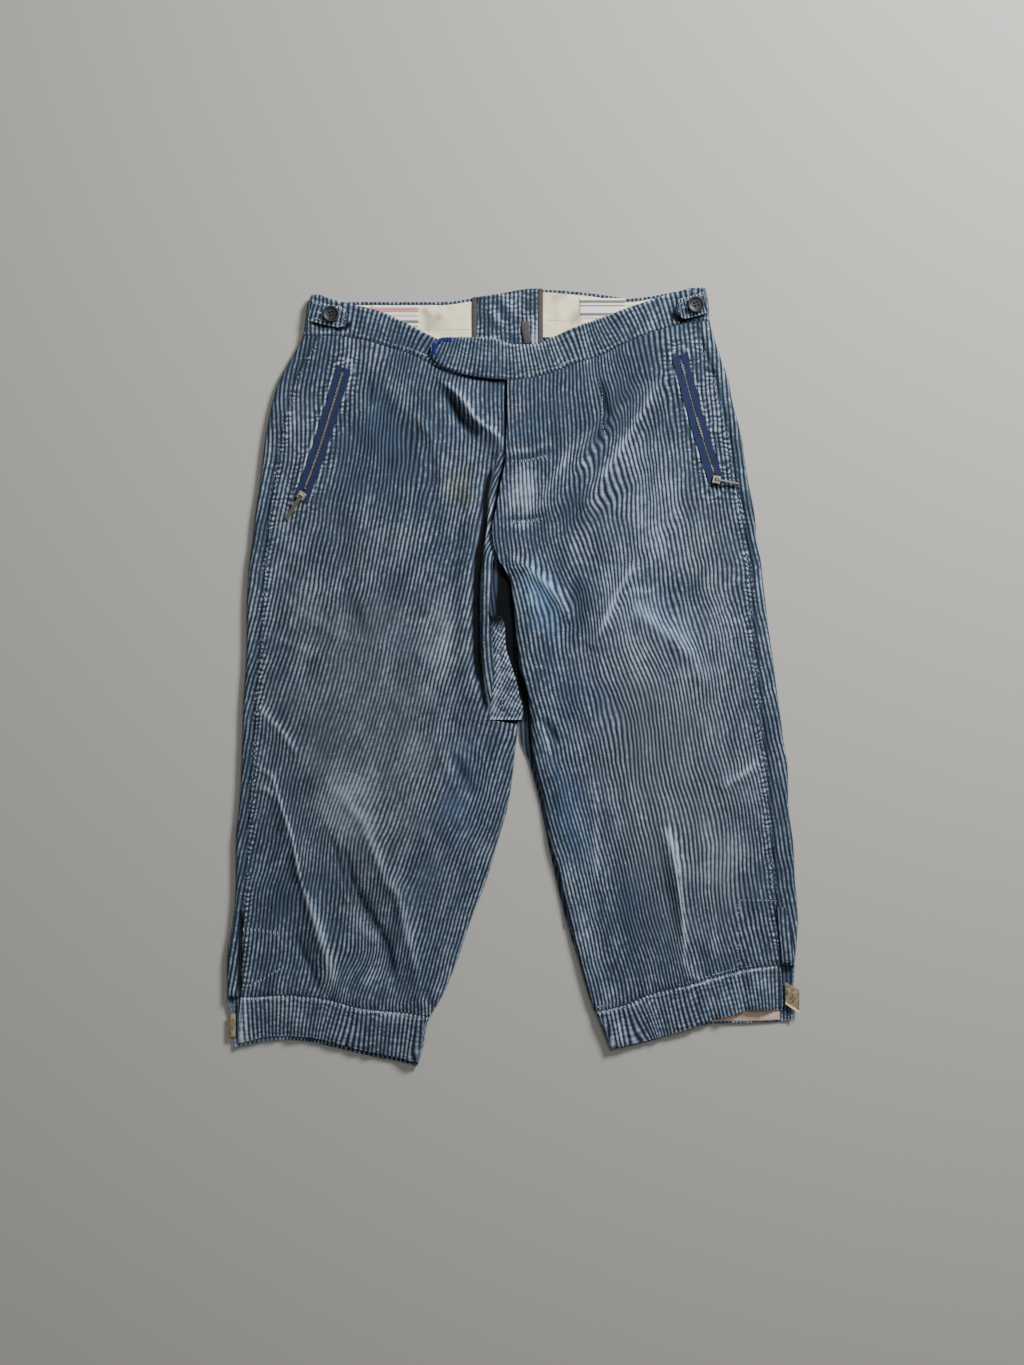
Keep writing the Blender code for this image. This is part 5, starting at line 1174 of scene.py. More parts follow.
def waist_inside():
    """What shows inside the back waistband: lining, corduroy at centre back, bindings, loop, labels."""
    under_top = band_edge(BACK_TOP, -3.4)
    full_top = band_edge(BACK_TOP, 0.5)
    low = LINING_HEIGHT
    on_panel = low + WALL + SEAM_GAP
    on_lining = low + LINING_WALL + SEAM_GAP
    right, left = ["back_waistband_right"], ["back_waistband_left"]
    lining = ("unbleached cotton", "lining_cotton")
    tape = ("brown cotton tape", "binding_tape")
    cord = ("corduroy", "corduroy", right + left)
    dark_label = ("dark-banded satin", "label_cloth", ["lining_left"])
    red_label = ("red-banded satin", "label_cloth", ["lining_right"])
    for piece in (
        FlatPiece("lining_right", -203, -42, 337, under_top, low, LINING_WALL, (*lining, right), 1.0),
        FlatPiece("lining_left", 30.5, 193, 344, under_top, low, LINING_WALL, (*lining, left), 1.0),
        FlatPiece("centre_back_panel", -36.5, 25, 330, full_top, low, WALL, cord, 0.3),
        FlatPiece("binding_right", -41.6, -37, 334, full_top, low, 2.4, (*tape, right), 0.2),
        FlatPiece("binding_left", 25.5, 30, 338, full_top, low, 2.4, (*tape, left), 0.2),
        FlatPiece("label_right", -144, -96, 355, 376, on_lining, 0.7, red_label, 0.1),
        FlatPiece("label_left", 68, 114, 363, 383.5, on_lining, 0.7, dark_label, 0.1),
    ):
        flat_piece(piece)
    points, across = strip_points(LOOP_PATH, LOOP_WIDTH, 33, 9, constant(on_panel), LOOP_WALL)
    points[..., 2] += 1.2 * np.sin(np.linspace(0, math.pi, 33))[:, None]
    points[..., 2] -= 0.4 * near(np.abs(across) - LOOP_WIDTH / 2, 0.8)
    garment_piece(Trade("back_loop", *tape, ["centre_back_panel"]), points, across, points[..., 1],
                  plain_wear(points), wall=LOOP_WALL, relief=False)


def knee_trim():
    """The left slit's underlap, which lies a wall above the back, the left band's facing, and the strap end
    and leather tab at the bands, the tab a slanted rectangle worn pale at one edge."""
    leg = LEGS["left"]
    rows = np.linspace(-236, -292, 37)[:, None]
    start = edge(leg.outline, "seam", rows) + SEAM_GAP + REST_GAP
    x = start + (line_at(UNDERLAP_EDGE, rows) - start) * np.linspace(0, 1, 13)
    y = rows + 0 * x
    z = solid_height(leg, x, y) + REST_GAP + UNDERLAP_WALL
    points = np.dstack([x, y, z])
    garment_piece(corduroy("underlap_left", ["left_back"]), points, x - start, y, plain_wear(points, 0.15),
                  wall=UNDERLAP_WALL)
    facing = ("pink cotton", "cuff_facing", ["cuff_back_left"])
    flat_piece(FlatPiece("cuff_facing_left", 196, 272, -330, band_edge(KNEE_BACK_HEM_LEFT, 1.8),
                         LINING_HEIGHT, LINING_WALL, facing, 0.2))
    leather = ("leather", "leather", ["cuff_back_right"])
    flat_piece(FlatPiece("cuff_strap_right", -288, -282.2, -368, -345, STRAP_HEIGHT, 1.5, leather, 0.1))
    v, u = np.meshgrid(np.linspace(0, 1, 25), np.linspace(0, 1, 25), indexing="ij")
    x = 277 + 14 * u
    y = -334.5 - 9.5 * u + v * (22 + 2.0 * u)
    points = np.dstack([x, y, STRAP_HEIGHT + WALL + 0.3 * noise(x, y, 6, 72)])
    garment_piece(Trade("cuff_tab_left", "leather", "leather", ["cuff_back_left"]), points, x, y,
                  plain_wear(points) + 0.9 * near(22 * v, 3.0), relief=False)


def path_frame(path, count):
    """Points at even steps along a smooth path, and the direction there."""
    points = np.asarray(path, float)
    run = running(points)
    t = np.linspace(0, run[-1], count)
    x = smooth_line(run, points[:, 0], t)
    y = smooth_line(run, points[:, 1], t)
    return np.stack([x, y], axis=1), unit(np.stack([np.gradient(x), np.gradient(y)], axis=1))


def strip_points(path, width, count, across, surface, lift, shape=None):
    """A strip along a path, whose upper side lies a lift above a surface."""
    middle, way = path_frame(path, count)
    side = np.stack([-way[:, 1], way[:, 0]], axis=1)
    half = np.full(count, width / 2) if shape is None else shape(np.linspace(0, 1, count)) * width / 2
    offsets = np.linspace(-1, 1, across)
    flat = middle[:, None, :] + side[:, None, :] * (half[:, None] * offsets[None, :])[..., None]
    x, y = flat[..., 0], flat[..., 1]
    return np.dstack([x, y, surface(x, y) + lift]), half[:, None] * offsets[None, :]


# A box of unit size, for the zips' teeth
BOX_CORNERS = np.array([(x, y, z) for z in (-1, 1) for y in (-1, 1) for x in (-1, 1)]) / 2
BOX_FACES = np.array([(0, 2, 3, 1), (4, 5, 7, 6), (0, 1, 5, 4), (2, 6, 7, 3), (0, 4, 6, 2), (1, 3, 7, 5)])


def many(corners, faces, places, ways, sizes):
    """Copies of one small form: turned to lie along ways, sized, and put at places."""
    ways = np.asarray(ways, float)
    side = unit(sideways(ways))
    up = np.cross(ways, side)
    local = corners[None, :, :] * np.asarray(sizes, float).reshape(-1, 1, 3)
    turned = (local[..., :1] * ways[:, None] + local[..., 1:2] * side[:, None] + local[..., 2:] * up[:, None])
    points = (turned + places[:, None]).reshape(-1, 3)
    shifted = faces[None] + np.arange(len(places))[:, None, None] * len(corners)
    return points, shifted.reshape(-1, faces.shape[1])


def stitch_form():
    """One stitch of unit size: a short rod of square section, narrower and lower at its ends, which dip into
    the cloth. Its five rings each have a place along it, a size and a lift."""
    rings = [(-0.5, 0.25, -0.35), (-0.34, 0.9, -0.05), (0.0, 1.0, 0.0), (0.34, 0.9, -0.05),
             (0.5, 0.25, -0.35)]
    corners = [(x, s * 0.5 * c, lift + 0.5 * s * d) for x, s, lift in rings
               for c, d in ((1, 0), (0, 1), (-1, 0), (0, -1))]
    faces = [(4 * i + j, 4 * i + (j + 1) % 4, 4 * i + 4 + (j + 1) % 4, 4 * i + 4 + j)
             for i in range(4) for j in range(4)]
    faces += [(3, 2, 1, 0), (16, 17, 18, 19)]
    return np.array(corners), np.array(faces)


STITCH_CORNERS, STITCH_FACES = stitch_form()


def row_of_stitches(line, surface, pitch, length, seed, sway=0.25, turn=0.0):
    """Places, directions and lengths of stitches along a line in x and y: at even steps, each moved, turned
    and lengthened a little by chance, and tilted as the surface under it."""
    def place(at):
        """The line's point at a running length."""
        return np.array([np.interp(at, run, column) for column in line.T])

    line = np.asarray(line, float)
    run = running(line)
    rng = np.random.default_rng(seed)
    at = np.arange(pitch / 2, run[-1], pitch)
    at = at + rng.normal(0, 0.12 * pitch, len(at))
    x, y = place(at)
    ahead = unit((place(at + 0.5) - place(at - 0.5)).T).T
    angle = turn + rng.normal(0, sway, len(at)) * 0.5
    dx = ahead[0] * np.cos(angle) - ahead[1] * np.sin(angle)
    dy = ahead[0] * np.sin(angle) + ahead[1] * np.cos(angle)
    rise = surface(x + dx / 2, y + dy / 2) - surface(x - dx / 2, y - dy / 2)
    ways = unit(np.stack([dx, dy, np.clip(rise, -0.8, 0.8)], axis=1))
    lengths = length * (1 + rng.uniform(-0.2, 0.2, len(at)))
    return np.stack([x, y, surface(x, y)], axis=1), ways, lengths


def thread_piece(name, rows, thickness, colour, rests):
    """One object for the stitches of several rows, without those past the edge of their cloth."""
    places, ways, lengths = (np.concatenate(parts) for parts in zip(*rows))
    held = places[:, 2] > 0
    places, ways, lengths = places[held], ways[held], lengths[held]
    sizes = np.stack([lengths, 0 * lengths + thickness, 0 * lengths + thickness], axis=1)
    points, faces = many(STITCH_CORNERS, STITCH_FACES, places, ways, sizes)
    mesh = solid_mesh(name, points, faces.tolist(), 80)
    return finish_piece(mesh, Trade(None, colour, rests, ()))


def cloth_top(leg, lift=0.0):
    """Height of the cloth on a leg's upper side, raised by the lift, as a function of x and y."""
    return lambda x, y: upper_height(leg, x, y) + lift


# Stretches, as shares of its length, in which the left zip's tapes lie open and show their teeth
TEETH_SHOWN = ((0.02, 0.14), (0.5, 0.7), (0.93, 1.0))

# The teeth's pitch, and a tooth's length, width and height where it is hidden and where it shows
TOOTH_PITCH = 1.4
HIDDEN_TOOTH = np.array([0.85, 0.45, 0.8])
SHOWN_TOOTH = np.array([0.85, 1.45, 1.2])


def pocket_zips():
    """Each pocket's zip tape with its wavy edges and the groove between its halves, and its row of teeth,
    which stand to the left and right by turns where the tapes lie open and sink between them elsewhere."""
    for leg in LEGS.values():
        path = ZIP_PATHS[leg.name]

        def width(t):
            """The tape's width along it: one, plus two slow waves."""
            return 1 + 0.05 * np.sin(t * 23 + leg.way) + 0.03 * np.sin(t * 41)

        points, across = strip_points(path, TAPE_WIDTH, 81, 17, cloth_top(leg), REST_GAP + TAPE_WALL, width)
        points[..., 2] -= 0.45 * near(across, 1.0)
        run = np.linspace(0, 140, across.shape[0])[:, None] + 0 * across
        trade = Trade("zip_tape_" + leg.name, "polyester tape", "zip_tape", [leg.name + "_front"])
        # The tape's middle is darkened as painted shade, in the groove between its halves
        garment_piece(trade, points, across, run, plain_wear(points, 0.3) - 1.1 * near(across, 1.2),
                      wall=TAPE_WALL, relief=False)
        teeth_path, _ = path_frame(path, 60)
        places, ways, _ = row_of_stitches(teeth_path[2:-5], cloth_top(leg, REST_GAP + TAPE_WALL + 0.5),
                                          TOOTH_PITCH, 1.0, 81, 0)
        share = np.linspace(0, 1, len(places))
        bare = np.zeros(len(places)) if leg.way > 0 else np.ones(len(places))
        for start, stop in TEETH_SHOWN:
            bare = np.maximum(bare, ramp(share, start, start + 0.02) * ramp(share, stop, stop - 0.02))
        offset = 0.4 * bare * (-1) ** np.arange(len(places))
        places = places + sideways(ways) * offset[:, None]
        places[:, 2] -= 0.9 * (1 - bare)
        sizes = HIDDEN_TOOTH + (SHOWN_TOOTH - HIDDEN_TOOTH) * bare[:, None]
        points, faces = many(BOX_CORNERS, BOX_FACES, places, ways, sizes)
        mesh = solid_mesh("zip_teeth_" + leg.name + "_metal", points, faces.tolist(), 30)
        finish_piece(mesh, Trade("zip_teeth_" + leg.name, "tarnished brass", "zip_metal", ()))


# The waist adjusters: each tab's path in x and y, its width, and where its button lies
TAB_PATHS = {
    "right": ((-205.5, 370), (-190, 366), (-169, 362)),
    "left": ((195.5, 378), (182, 374), (167, 371)),
}
SIDE_TAB_WIDTH = 21.0
BUTTON_PLACES = {"right": (-184.5, 366.0), "left": (185.5, 375.5)}

# A button's outline from the middle of its face to the rim and back under, as radius and height, the rows
# and spokes it is turned in, how many rows make its face, its turn, and its four holes
BUTTON_OUTLINE = ((0.02, 2.1), (1.2, 2.1), (2.3, 2.15), (3.4, 2.2), (4.6, 2.25), (5.6, 2.55), (6.4, 2.95),
                  (7.2, 3.2), (7.9, 3.1), (8.4, 2.5), (8.5, 1.8), (8.3, 1.0), (7.0, 0.1), (0.02, 0.0))
BUTTON_ROWS = 66
BUTTON_SPOKES = 72
BUTTON_FACE_ROWS = 40
BUTTON_TURN = 0.3
HOLE_ANGLES = (45, 135, 225, 315)
HOLE_DISTANCE = 2.3
HOLE_DEPTH = 1.6
HOLE_RADII = (0.7, 1.05)


def band_top(side):
    """Height of a front waistband's flat face, without its puckers."""
    leg = LEGS[side]
    return lambda x, y: solid_height(leg, x, line_at(WAIST_SEAM, x)) + 0 * y


def tab_tip(t):
    """Half width of a side tab along its length: one, and over the last part a half circle's fall."""
    return np.sqrt(np.clip(1 - (np.clip((t - 0.78) / 0.22, 0, 1) * 0.93) ** 2, 0, 1))


def adjusters():
    """The side tabs, strips worn at their edges that are round at their tips, and their buttons."""
    for side, path in TAB_PATHS.items():
        points, across = strip_points(path, SIDE_TAB_WIDTH, 61, 25, band_top(side), REST_GAP + WALL + 0.5,
                                      tab_tip)
        along = np.linspace(0, 38, across.shape[0])[:, None] + 0 * across
        rim = np.abs(across) - np.abs(across[:, :1])
        points[..., 2] += 0.3 * noise(points[..., 0], points[..., 1], 9, 73) - 0.7 * near(rim, 1.2)
        wear = plain_wear(points, 0.12) + 0.5 * near(rim, 1.8)
        garment_piece(corduroy("side_tab_" + side, [side + "_waistband"]), points, along, across,
                      np.clip(wear, 0, 1))
        button(side)


def button(side):
    """A four-hole button: its outline turned about its axis, with four dimples sunk in its face."""
    low = np.array(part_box("button_" + side))[0][2] * 1000
    corners = np.arange(len(BUTTON_OUTLINE))
    at = np.linspace(0, corners[-1], BUTTON_ROWS)
    radius, height = (np.interp(at, corners, column) for column in zip(*BUTTON_OUTLINE))
    angle = np.linspace(0, 2 * math.pi, BUTTON_SPOKES, endpoint=False)
    px = radius[:, None] * np.cos(angle)
    py = radius[:, None] * np.sin(angle)
    pz = height[:, None] + 0 * px
    face = np.arange(BUTTON_ROWS)[:, None] < BUTTON_FACE_ROWS
    for hole in np.radians(HOLE_ANGLES):
        gap = np.hypot(px - HOLE_DISTANCE * math.cos(hole), py - HOLE_DISTANCE * math.sin(hole))
        pz = pz - HOLE_DEPTH * face * (1 - ramp(gap, *HOLE_RADII))
    x, y = BUTTON_PLACES[side]
    cos, sin = math.cos(BUTTON_TURN), math.sin(BUTTON_TURN)
    places = np.dstack([x + px * cos - py * sin, y + px * sin + py * cos, low + pz])
    index = np.arange(BUTTON_ROWS * BUTTON_SPOKES).reshape(BUTTON_ROWS, BUTTON_SPOKES)
    right = np.roll(index, -1, axis=1)
    faces = np.stack([index[:-1], index[1:], right[1:], right[:-1]], axis=-1).reshape(-1, 4).tolist()
    faces += [index[0].tolist(), index[-1][::-1].tolist()]
    mesh = solid_mesh("button_" + side + "_horn", places.reshape(-1, 3), faces, 60)
    finish_piece(mesh, Trade("button_" + side, "polished horn", "button_horn", ()))


def cloth_met(names, lift):
    """Height at which the named cloths are met from above, plus the lift, as a function of x and y."""
    depsgraph = bpy.context.evaluated_depsgraph_get()
    trees = [BVHTree.FromObject(bpy.data.objects[name + "_cloth"], depsgraph) for name in names]
    down = Vector((0, 0, -1))

    def height(x, y):
        """The highest hit of a ray straight down at each place, or far below the floor where none hits."""
        found = []
        for px, py in zip(np.ravel(x) / 1000, np.ravel(y) / 1000):
            hits = [tree.ray_cast(Vector((px, py, 0.1)), down)[0] for tree in trees]
            found.append(max((hit.z * 1000 for hit in hits if hit is not None), default=-50))
        return np.array(found).reshape(np.shape(x)) + lift
    return height


# A row of sewing: the cloths it lies on, pitch, length, turn from its line in degrees, and its path
Sewing = namedtuple("Sewing", "cloths pitch length turn path")
PALE_ROWS = rows_of(Sewing, (
    (("left_front",), 4.1, 3.4, 90, ((-2, 224), (14, 225), (36, 230))),
    (("left_front",), 4.1, 3.0, 90, ((-2, 217), (14, 218), (34, 222))),
    (("left_front",), 4.1, 3.6, 90, ((-2, 155), (14, 156), (31, 159))),
    (("left_front",), 3.0, 1.8, 0, ((-3, 162), (14, 163), (30, 166))),
    (("right_front",), 3.9, 4.2, 90, ((-276, -259), (-258, -260), (-239, -263))),
    (("right_front",), 4.2, 3.0, 60, ((-269, -317), (-250, -307), (-231, -295))),
    (("left_front",), 4.0, 2.0, 0, ((230, -229), (252, -229), (270, -230))),
    (("left_front",), 4.0, 2.0, 0, ((229, -232), (229, -280), (231, -328))),
    (("left_front",), 3.2, 2.0, 0, ((94, 243), (90, 262), (91, 285), (86, 300))),
    (("side_tab_right",), 2.6, 1.7, 0, (
        (-203, 377), (-188, 374), (-174, 370.5), (-170.6, 363), (-174, 356.5), (-188, 359), (-203, 362))),
    (("side_tab_left",), 2.6, 1.7, 0, (
        (193, 385), (181, 381.5), (171.5, 378.5), (168.5, 371), (172, 364.5), (181, 366.5), (193, 370))),
    (("side_tab_right",), 1.1, 2.4, 90, ((-199, 368), (-193, 366.8), (-175, 363.5))),
    (("side_tab_left",), 1.1, 2.4, 90, ((193, 377), (188, 375.6), (172, 372.6))),
    (("fork_piece",), 3.4, 2.0, 0, ((-14, 52), (-14, 20), (-12, -10), (-10, -40))),
    (("lining_right",), 2.6, 1.9, 0, ((-130, 351), (-90, 351.5), (-44, 352))),
    (("lining_left",), 2.6, 1.9, 0, ((33, 362), (50, 360.5), (66, 362)))))
OVERCAST_ROW = Sewing(("left_waistband", "right_waistband"), 1.1, 6.2, 80, (
    (-62, 340), (-70, 340), (-76.5, 336.6), (-80.2, 331), (-80.2, 325.5), (-77, 320.5), (-72.5, 317),
    (-67, 314)))


def sewn(row, seed):
    """One row of stitches that lies on its cloths."""
    line, _ = path_frame(row.path, 60)
    return row_of_stitches(line, cloth_met(row.cloths, 0.1), row.pitch, row.length, seed, 0.3,
                           math.radians(row.turn))


def side_seam_row(leg):
    """The row of small stitches on the front beside a side seam."""
    y = np.linspace(WAIST_Y - 6, leg.slit_y + 4, 260)
    seam = edge(leg.outline, "seam", y)
    line = np.stack([seam - leg.way * 3.2, y], axis=1)
    return row_of_stitches(line, cloth_met([leg.name + "_front"], -0.1), 5.4, 2.6, 91, 0.5, 0.0)


def band_seam_rows():
    """The puckered wale ends along the waist seam and along the seams of the knee bands."""
    for leg, start, stop in ((LEGS["right"], -214, -80), (LEGS["left"], 0, 200)):
        x = np.linspace(start, stop, 200)
        line = np.stack([x, line_at(WAIST_SEAM, x) + 3.0], axis=1)
        yield row_of_stitches(line, cloth_met([leg.name + "_waistband"], 0.0), 4.1, 1.6, 93, 0.4, math.pi / 2)
    for leg in LEGS.values():
        low, high = (-276, -82) if leg.name == "right" else (84, 268)
        x = np.linspace(low, high, 200)
        for rise in (-2.8,) if leg.name == "right" else (-2.8, 2.6):
            line = np.stack([x, line_at(leg.knee_seam, x) + rise], axis=1)
            yield row_of_stitches(line, cloth_met(["cuff_front_" + leg.name, leg.name + "_front"], 0.0), 4.1,
                                  2.4, 94, 0.4, math.pi / 2)


def stitching():
    """The sewing: rows of worn thread along the seams, bars, and the blue overcast edge of the lap tab."""
    seams = [side_seam_row(leg) for leg in LEGS.values()]
    thread_piece("thread_side_seams", seams, 0.8, "pale cotton thread", "corduroy")
    thread_piece("thread_bands", list(band_seam_rows()), 1.4, "pale cotton thread", "corduroy")
    thread_piece("thread_rows", [sewn(row, 100 + i) for i, row in enumerate(PALE_ROWS)], 0.9,
                 "pale cotton thread", "corduroy")
    thread_piece("thread_overcast", [sewn(OVERCAST_ROW, 120)], 1.1, "blue cotton thread", "corduroy")


def material(name):
    """The material of that name, made once."""
    made = bpy.data.materials.get("breeches " + name)
    if made is None:
        made = bpy.data.materials.new("breeches " + name)
        made.use_nodes = True
        MAKERS[name](made)
    return made


def add_node(tree, kind, inputs=(), out=0, **settings):
    """Adds a node and gives one of its outputs. Inputs are sockets' values, or outputs to link to them, in
    order or by name or number. Settings are the node's properties."""
    made = tree.nodes.new("ShaderNode" + kind)
    for name, value in settings.items():
        setattr(made, name, value)
    for key, value in inputs.items() if isinstance(inputs, dict) else enumerate(inputs):
        if isinstance(value, bpy.types.NodeSocket):
            tree.links.new(value, made.inputs[key])
        else:
            made.inputs[key].default_value = value
    return made.outputs[out]


# What a node needs to ease a value from one range to another, and to mix colours, whose sockets are these
EASED = {"interpolation_type": "SMOOTHSTEP"}
COLOURS = {"out": 2, "data_type": "RGBA"}
SHARE, UNDER, OVER = 0, 6, 7


def set_surface(made, colour, roughness, bump=None, **constants):
    """Sets the Principled shader: a linked or plain colour, plain constants, and a bump in millimetres."""
    tree = made.node_tree
    shader = tree.nodes["Principled BSDF"]
    if isinstance(colour, bpy.types.NodeSocket):
        tree.links.new(colour, shader.inputs["Base Color"])
    else:
        shader.inputs["Base Color"].default_value = colour
    shader.inputs["Roughness"].default_value = roughness
    for name, value in constants.items():
        shader.inputs[name.replace("_", " ")].default_value = value
    if bump is not None:
        height, distance = bump
        raised = add_node(tree, "Bump", {"Height": height, "Strength": 1.0, "Distance": distance * 0.001})
        tree.links.new(raised, shader.inputs["Normal"])


def palette(name):
    """A colour of the panel, opaque."""
    return (*getattr(bpy.context.scene.breeches_colours, name), 1.0)


# The corduroy's noises: changes for each wale or millimetre across and for each millimetre along, detail
# and roughness. Dash flecks one wale at a time, every 6 mm. Pile is tufts of 0.6 by 1.2 mm, coarser than
# the real 0.3 mm so that they show. Cloud and sway change over 33 mm and 17 mm.
Speckle = namedtuple("Speckle", "name across along detail rough")
SPECKLES = (
    Speckle("dash", 3.7, 0.17, 3.0, 0.65),
    Speckle("pile", 1.6, 0.8, 2.0, 0.7),
    Speckle("cloud", 0.03, 0.03, 3.0, 0.5),
    Speckle("sway", 0.06, 0.06, 2.0, 0.5),
)


def corduroy_material(made):
    """Cotton corduroy, its pile cut in ribs and washed until it faded: pale rubbed ridges over dark ground,
    flecked along each wale, with a soft sheen and hardly any gloss.

    The groove is a triangle wave across the wales. Worn is the sum of the wear, the ridge, the noises and
    the rungs, and mixes the cloth's two colours; the ridge makes each wale paler on top and darker on its
    flanks, a painted shading of its round profile. Stains, the grooves' dark ground, which is its own dye
    deepened by painted shade, and painted shade where the wear is below nought are mixed in after it.
    """
    tree = made.node_tree
    pitch = bpy.context.scene.breeches_sizes.wale_pitch * 1000
    grain = add_node(tree, "Attribute", out="Vector", attribute_name="grain")
    wear = add_node(tree, "Attribute", out="Fac", attribute_name="wear")
    tint = add_node(tree, "Attribute", out="Color", attribute_name="tint")
    stain = tint.node.outputs["Alpha"]
    u, v, broken = add_node(tree, "SeparateXYZ", (grain,)).node.outputs
    phase = add_node(tree, "Math", (u, pitch), operation="DIVIDE")
    half = add_node(tree, "Math", (phase, 0.5), operation="PINGPONG")
    groove = add_node(tree, "Math", (half, 2.0), operation="MULTIPLY")
    wale = add_node(tree, "Math", (phase,), operation="ROUND")
    noises = {}
    for speckle in SPECKLES:
        place = add_node(tree, "CombineXYZ", (wale if speckle.name == "dash" else u, v))
        place = add_node(tree, "VectorMath", (place, (speckle.across, speckle.along, 0.0)),
                         operation="MULTIPLY")
        noises[speckle.name] = add_node(
            tree, "TexNoise", {"Vector": place, "Scale": 1.0, "Detail": speckle.detail,
                               "Roughness": speckle.rough})
    dash, pile, cloud, sway = noises.values()

    # Rungs of sewing cross the wales every 5.2 mm, in waves that the sway bends and thins out
    turn = add_node(tree, "Math", (v, 1.2), operation="MULTIPLY")
    turn = add_node(tree, "Math", (sway, 18.0, turn), operation="MULTIPLY_ADD")
    rung = add_node(tree, "Math", (turn,), operation="SINE")
    thinned = add_node(tree, "MapRange", (sway, 0.35, 0.62, 0.3, 1.0), **EASED)
    for factor in (broken, thinned):
        rung = add_node(tree, "Math", (rung, factor), operation="MULTIPLY")

    worn = wear
    # The groove's weight makes each wale paler on top and darker on its flanks: painted shading of its round
    # profile
    for part, weight in ((dash, 1.25), (groove, -0.45), (rung, 0.34), (pile, 0.9), (cloud, 0.25)):
        worn = add_node(tree, "Math", (part, weight, worn), operation="MULTIPLY_ADD")
    worn = add_node(tree, "Math", (worn, 1.02), operation="SUBTRACT", use_clamp=True)
    depth = 1.0
    for part, *limits in ((groove, 0.06, 0.95, 0.0, 1.0), (worn, 0.0, 1.1, 1.0, 0.7),
                          (cloud, 0.35, 0.62, 0.86, 1.0), (stain, 0.5, 0.9, 1.0, 0.74)):
        eased = add_node(tree, "MapRange", (part, *limits), **EASED)
        depth = add_node(tree, "Math", (depth, eased), operation="MULTIPLY")
    pit = add_node(tree, "MapRange", (rung, -0.1, -1.0, 0.0, 0.6), **EASED)
    depth = add_node(tree, "Math", (depth, pit), operation="MAXIMUM")

    rubbed = add_node(tree, "MapRange", (worn, 0.0, 0.95, 0.0, 1.0), **EASED)
    stained = add_node(tree, "Math", (stain, 0.6), operation="MULTIPLY")
    painted_shade = add_node(tree, "MapRange", (wear, 0.0, -0.9, 0.0, 1.0), **EASED)
    # Mixed in turn: the pale worn ridges, the stains, the grooves' dark ground, its own dye deepened as
    # painted shade, and near-black painted shade where the wear is below nought
    colour = palette("cloth")
    for share, over in ((rubbed, palette("worn")), (stained, tint), (depth, palette("groove")),
                        (painted_shade, palette("painted_shade"))):
        colour = add_node(tree, "Mix", {SHARE: share, UNDER: colour, OVER: over}, **COLOURS)
    height = add_node(tree, "Math", (pile, groove), operation="SUBTRACT")
    set_surface(made, colour, 0.95, (height, 0.175), Sheen_Weight=0.15, Sheen_Roughness=0.5,
                Specular_IOR_Level=0.15)


def woven_material(colour_name, other_name, spacing):
    """A plain-woven cotton cloth, matt, with fine threads both ways and cloudy with the other colour.

    The weave is the product of a sine wave across and one along, a spacing of threads long.
    """
    def make(made):
        """Links the weave to the bump, and the clouds and the painted shade, where the wear is below nought,
        to the colour.
        """
        tree = made.node_tree
        grain = add_node(tree, "Attribute", out="Vector", attribute_name="grain")
        wear = add_node(tree, "Attribute", out="Fac", attribute_name="wear")
        weave = 1.0
        for place in add_node(tree, "SeparateXYZ", (grain,)).node.outputs[:2]:
            turn = add_node(tree, "Math", (place, math.tau / spacing), operation="MULTIPLY")
            wave = add_node(tree, "Math", (turn,), operation="SINE")
            weave = add_node(tree, "Math", (weave, wave), operation="MULTIPLY")
        cloud = add_node(tree, "TexNoise", {"Vector": grain, "Scale": 0.12, "Detail": 3.0})
        colour = palette(colour_name)
        for part, limits, over in ((cloud, (0.35, 0.75, 0.0, 0.3), palette(other_name)),
                                   (wear, (0.0, -0.8, 0.0, 1.0), palette("painted_shade"))):
            share = add_node(tree, "MapRange", (part, *limits), **EASED)
            colour = add_node(tree, "Mix", {SHARE: share, UNDER: colour, OVER: over}, **COLOURS)
        set_surface(made, colour, 0.9, (weave, 0.06), Sheen_Weight=0.1)
    return make


def label_material(*bands):
    """A woven satin label, smooth and cream, with plain bands and no words. A band has its middle and half
    width in millimetres up the label, its colour and how strong it is."""
    def make(made):
        """Mixes in each band's colour where the place up the label is within its half width."""
        tree = made.node_tree
        grain = add_node(tree, "Attribute", out="Vector", attribute_name="grain")
        y = add_node(tree, "SeparateXYZ", (grain,), out="Y")
        colour = palette("label")
        for middle, half, name, strength in bands:
            gap = add_node(tree, "Math", (y, middle), operation="SUBTRACT")
            gap = add_node(tree, "Math", (gap,), operation="ABSOLUTE")
            inside = add_node(tree, "Math", (gap, half), operation="LESS_THAN")
            share = add_node(tree, "Math", (inside, strength), operation="MULTIPLY")
            colour = add_node(tree, "Mix", {SHARE: share, UNDER: colour, OVER: palette(name)}, **COLOURS)
        set_surface(made, colour, 0.8)
    return make


def plain_material(colour_name, roughness, **constants):
    """A finish of one colour all over."""
    return lambda made: set_surface(made, palette(colour_name), roughness, **constants)


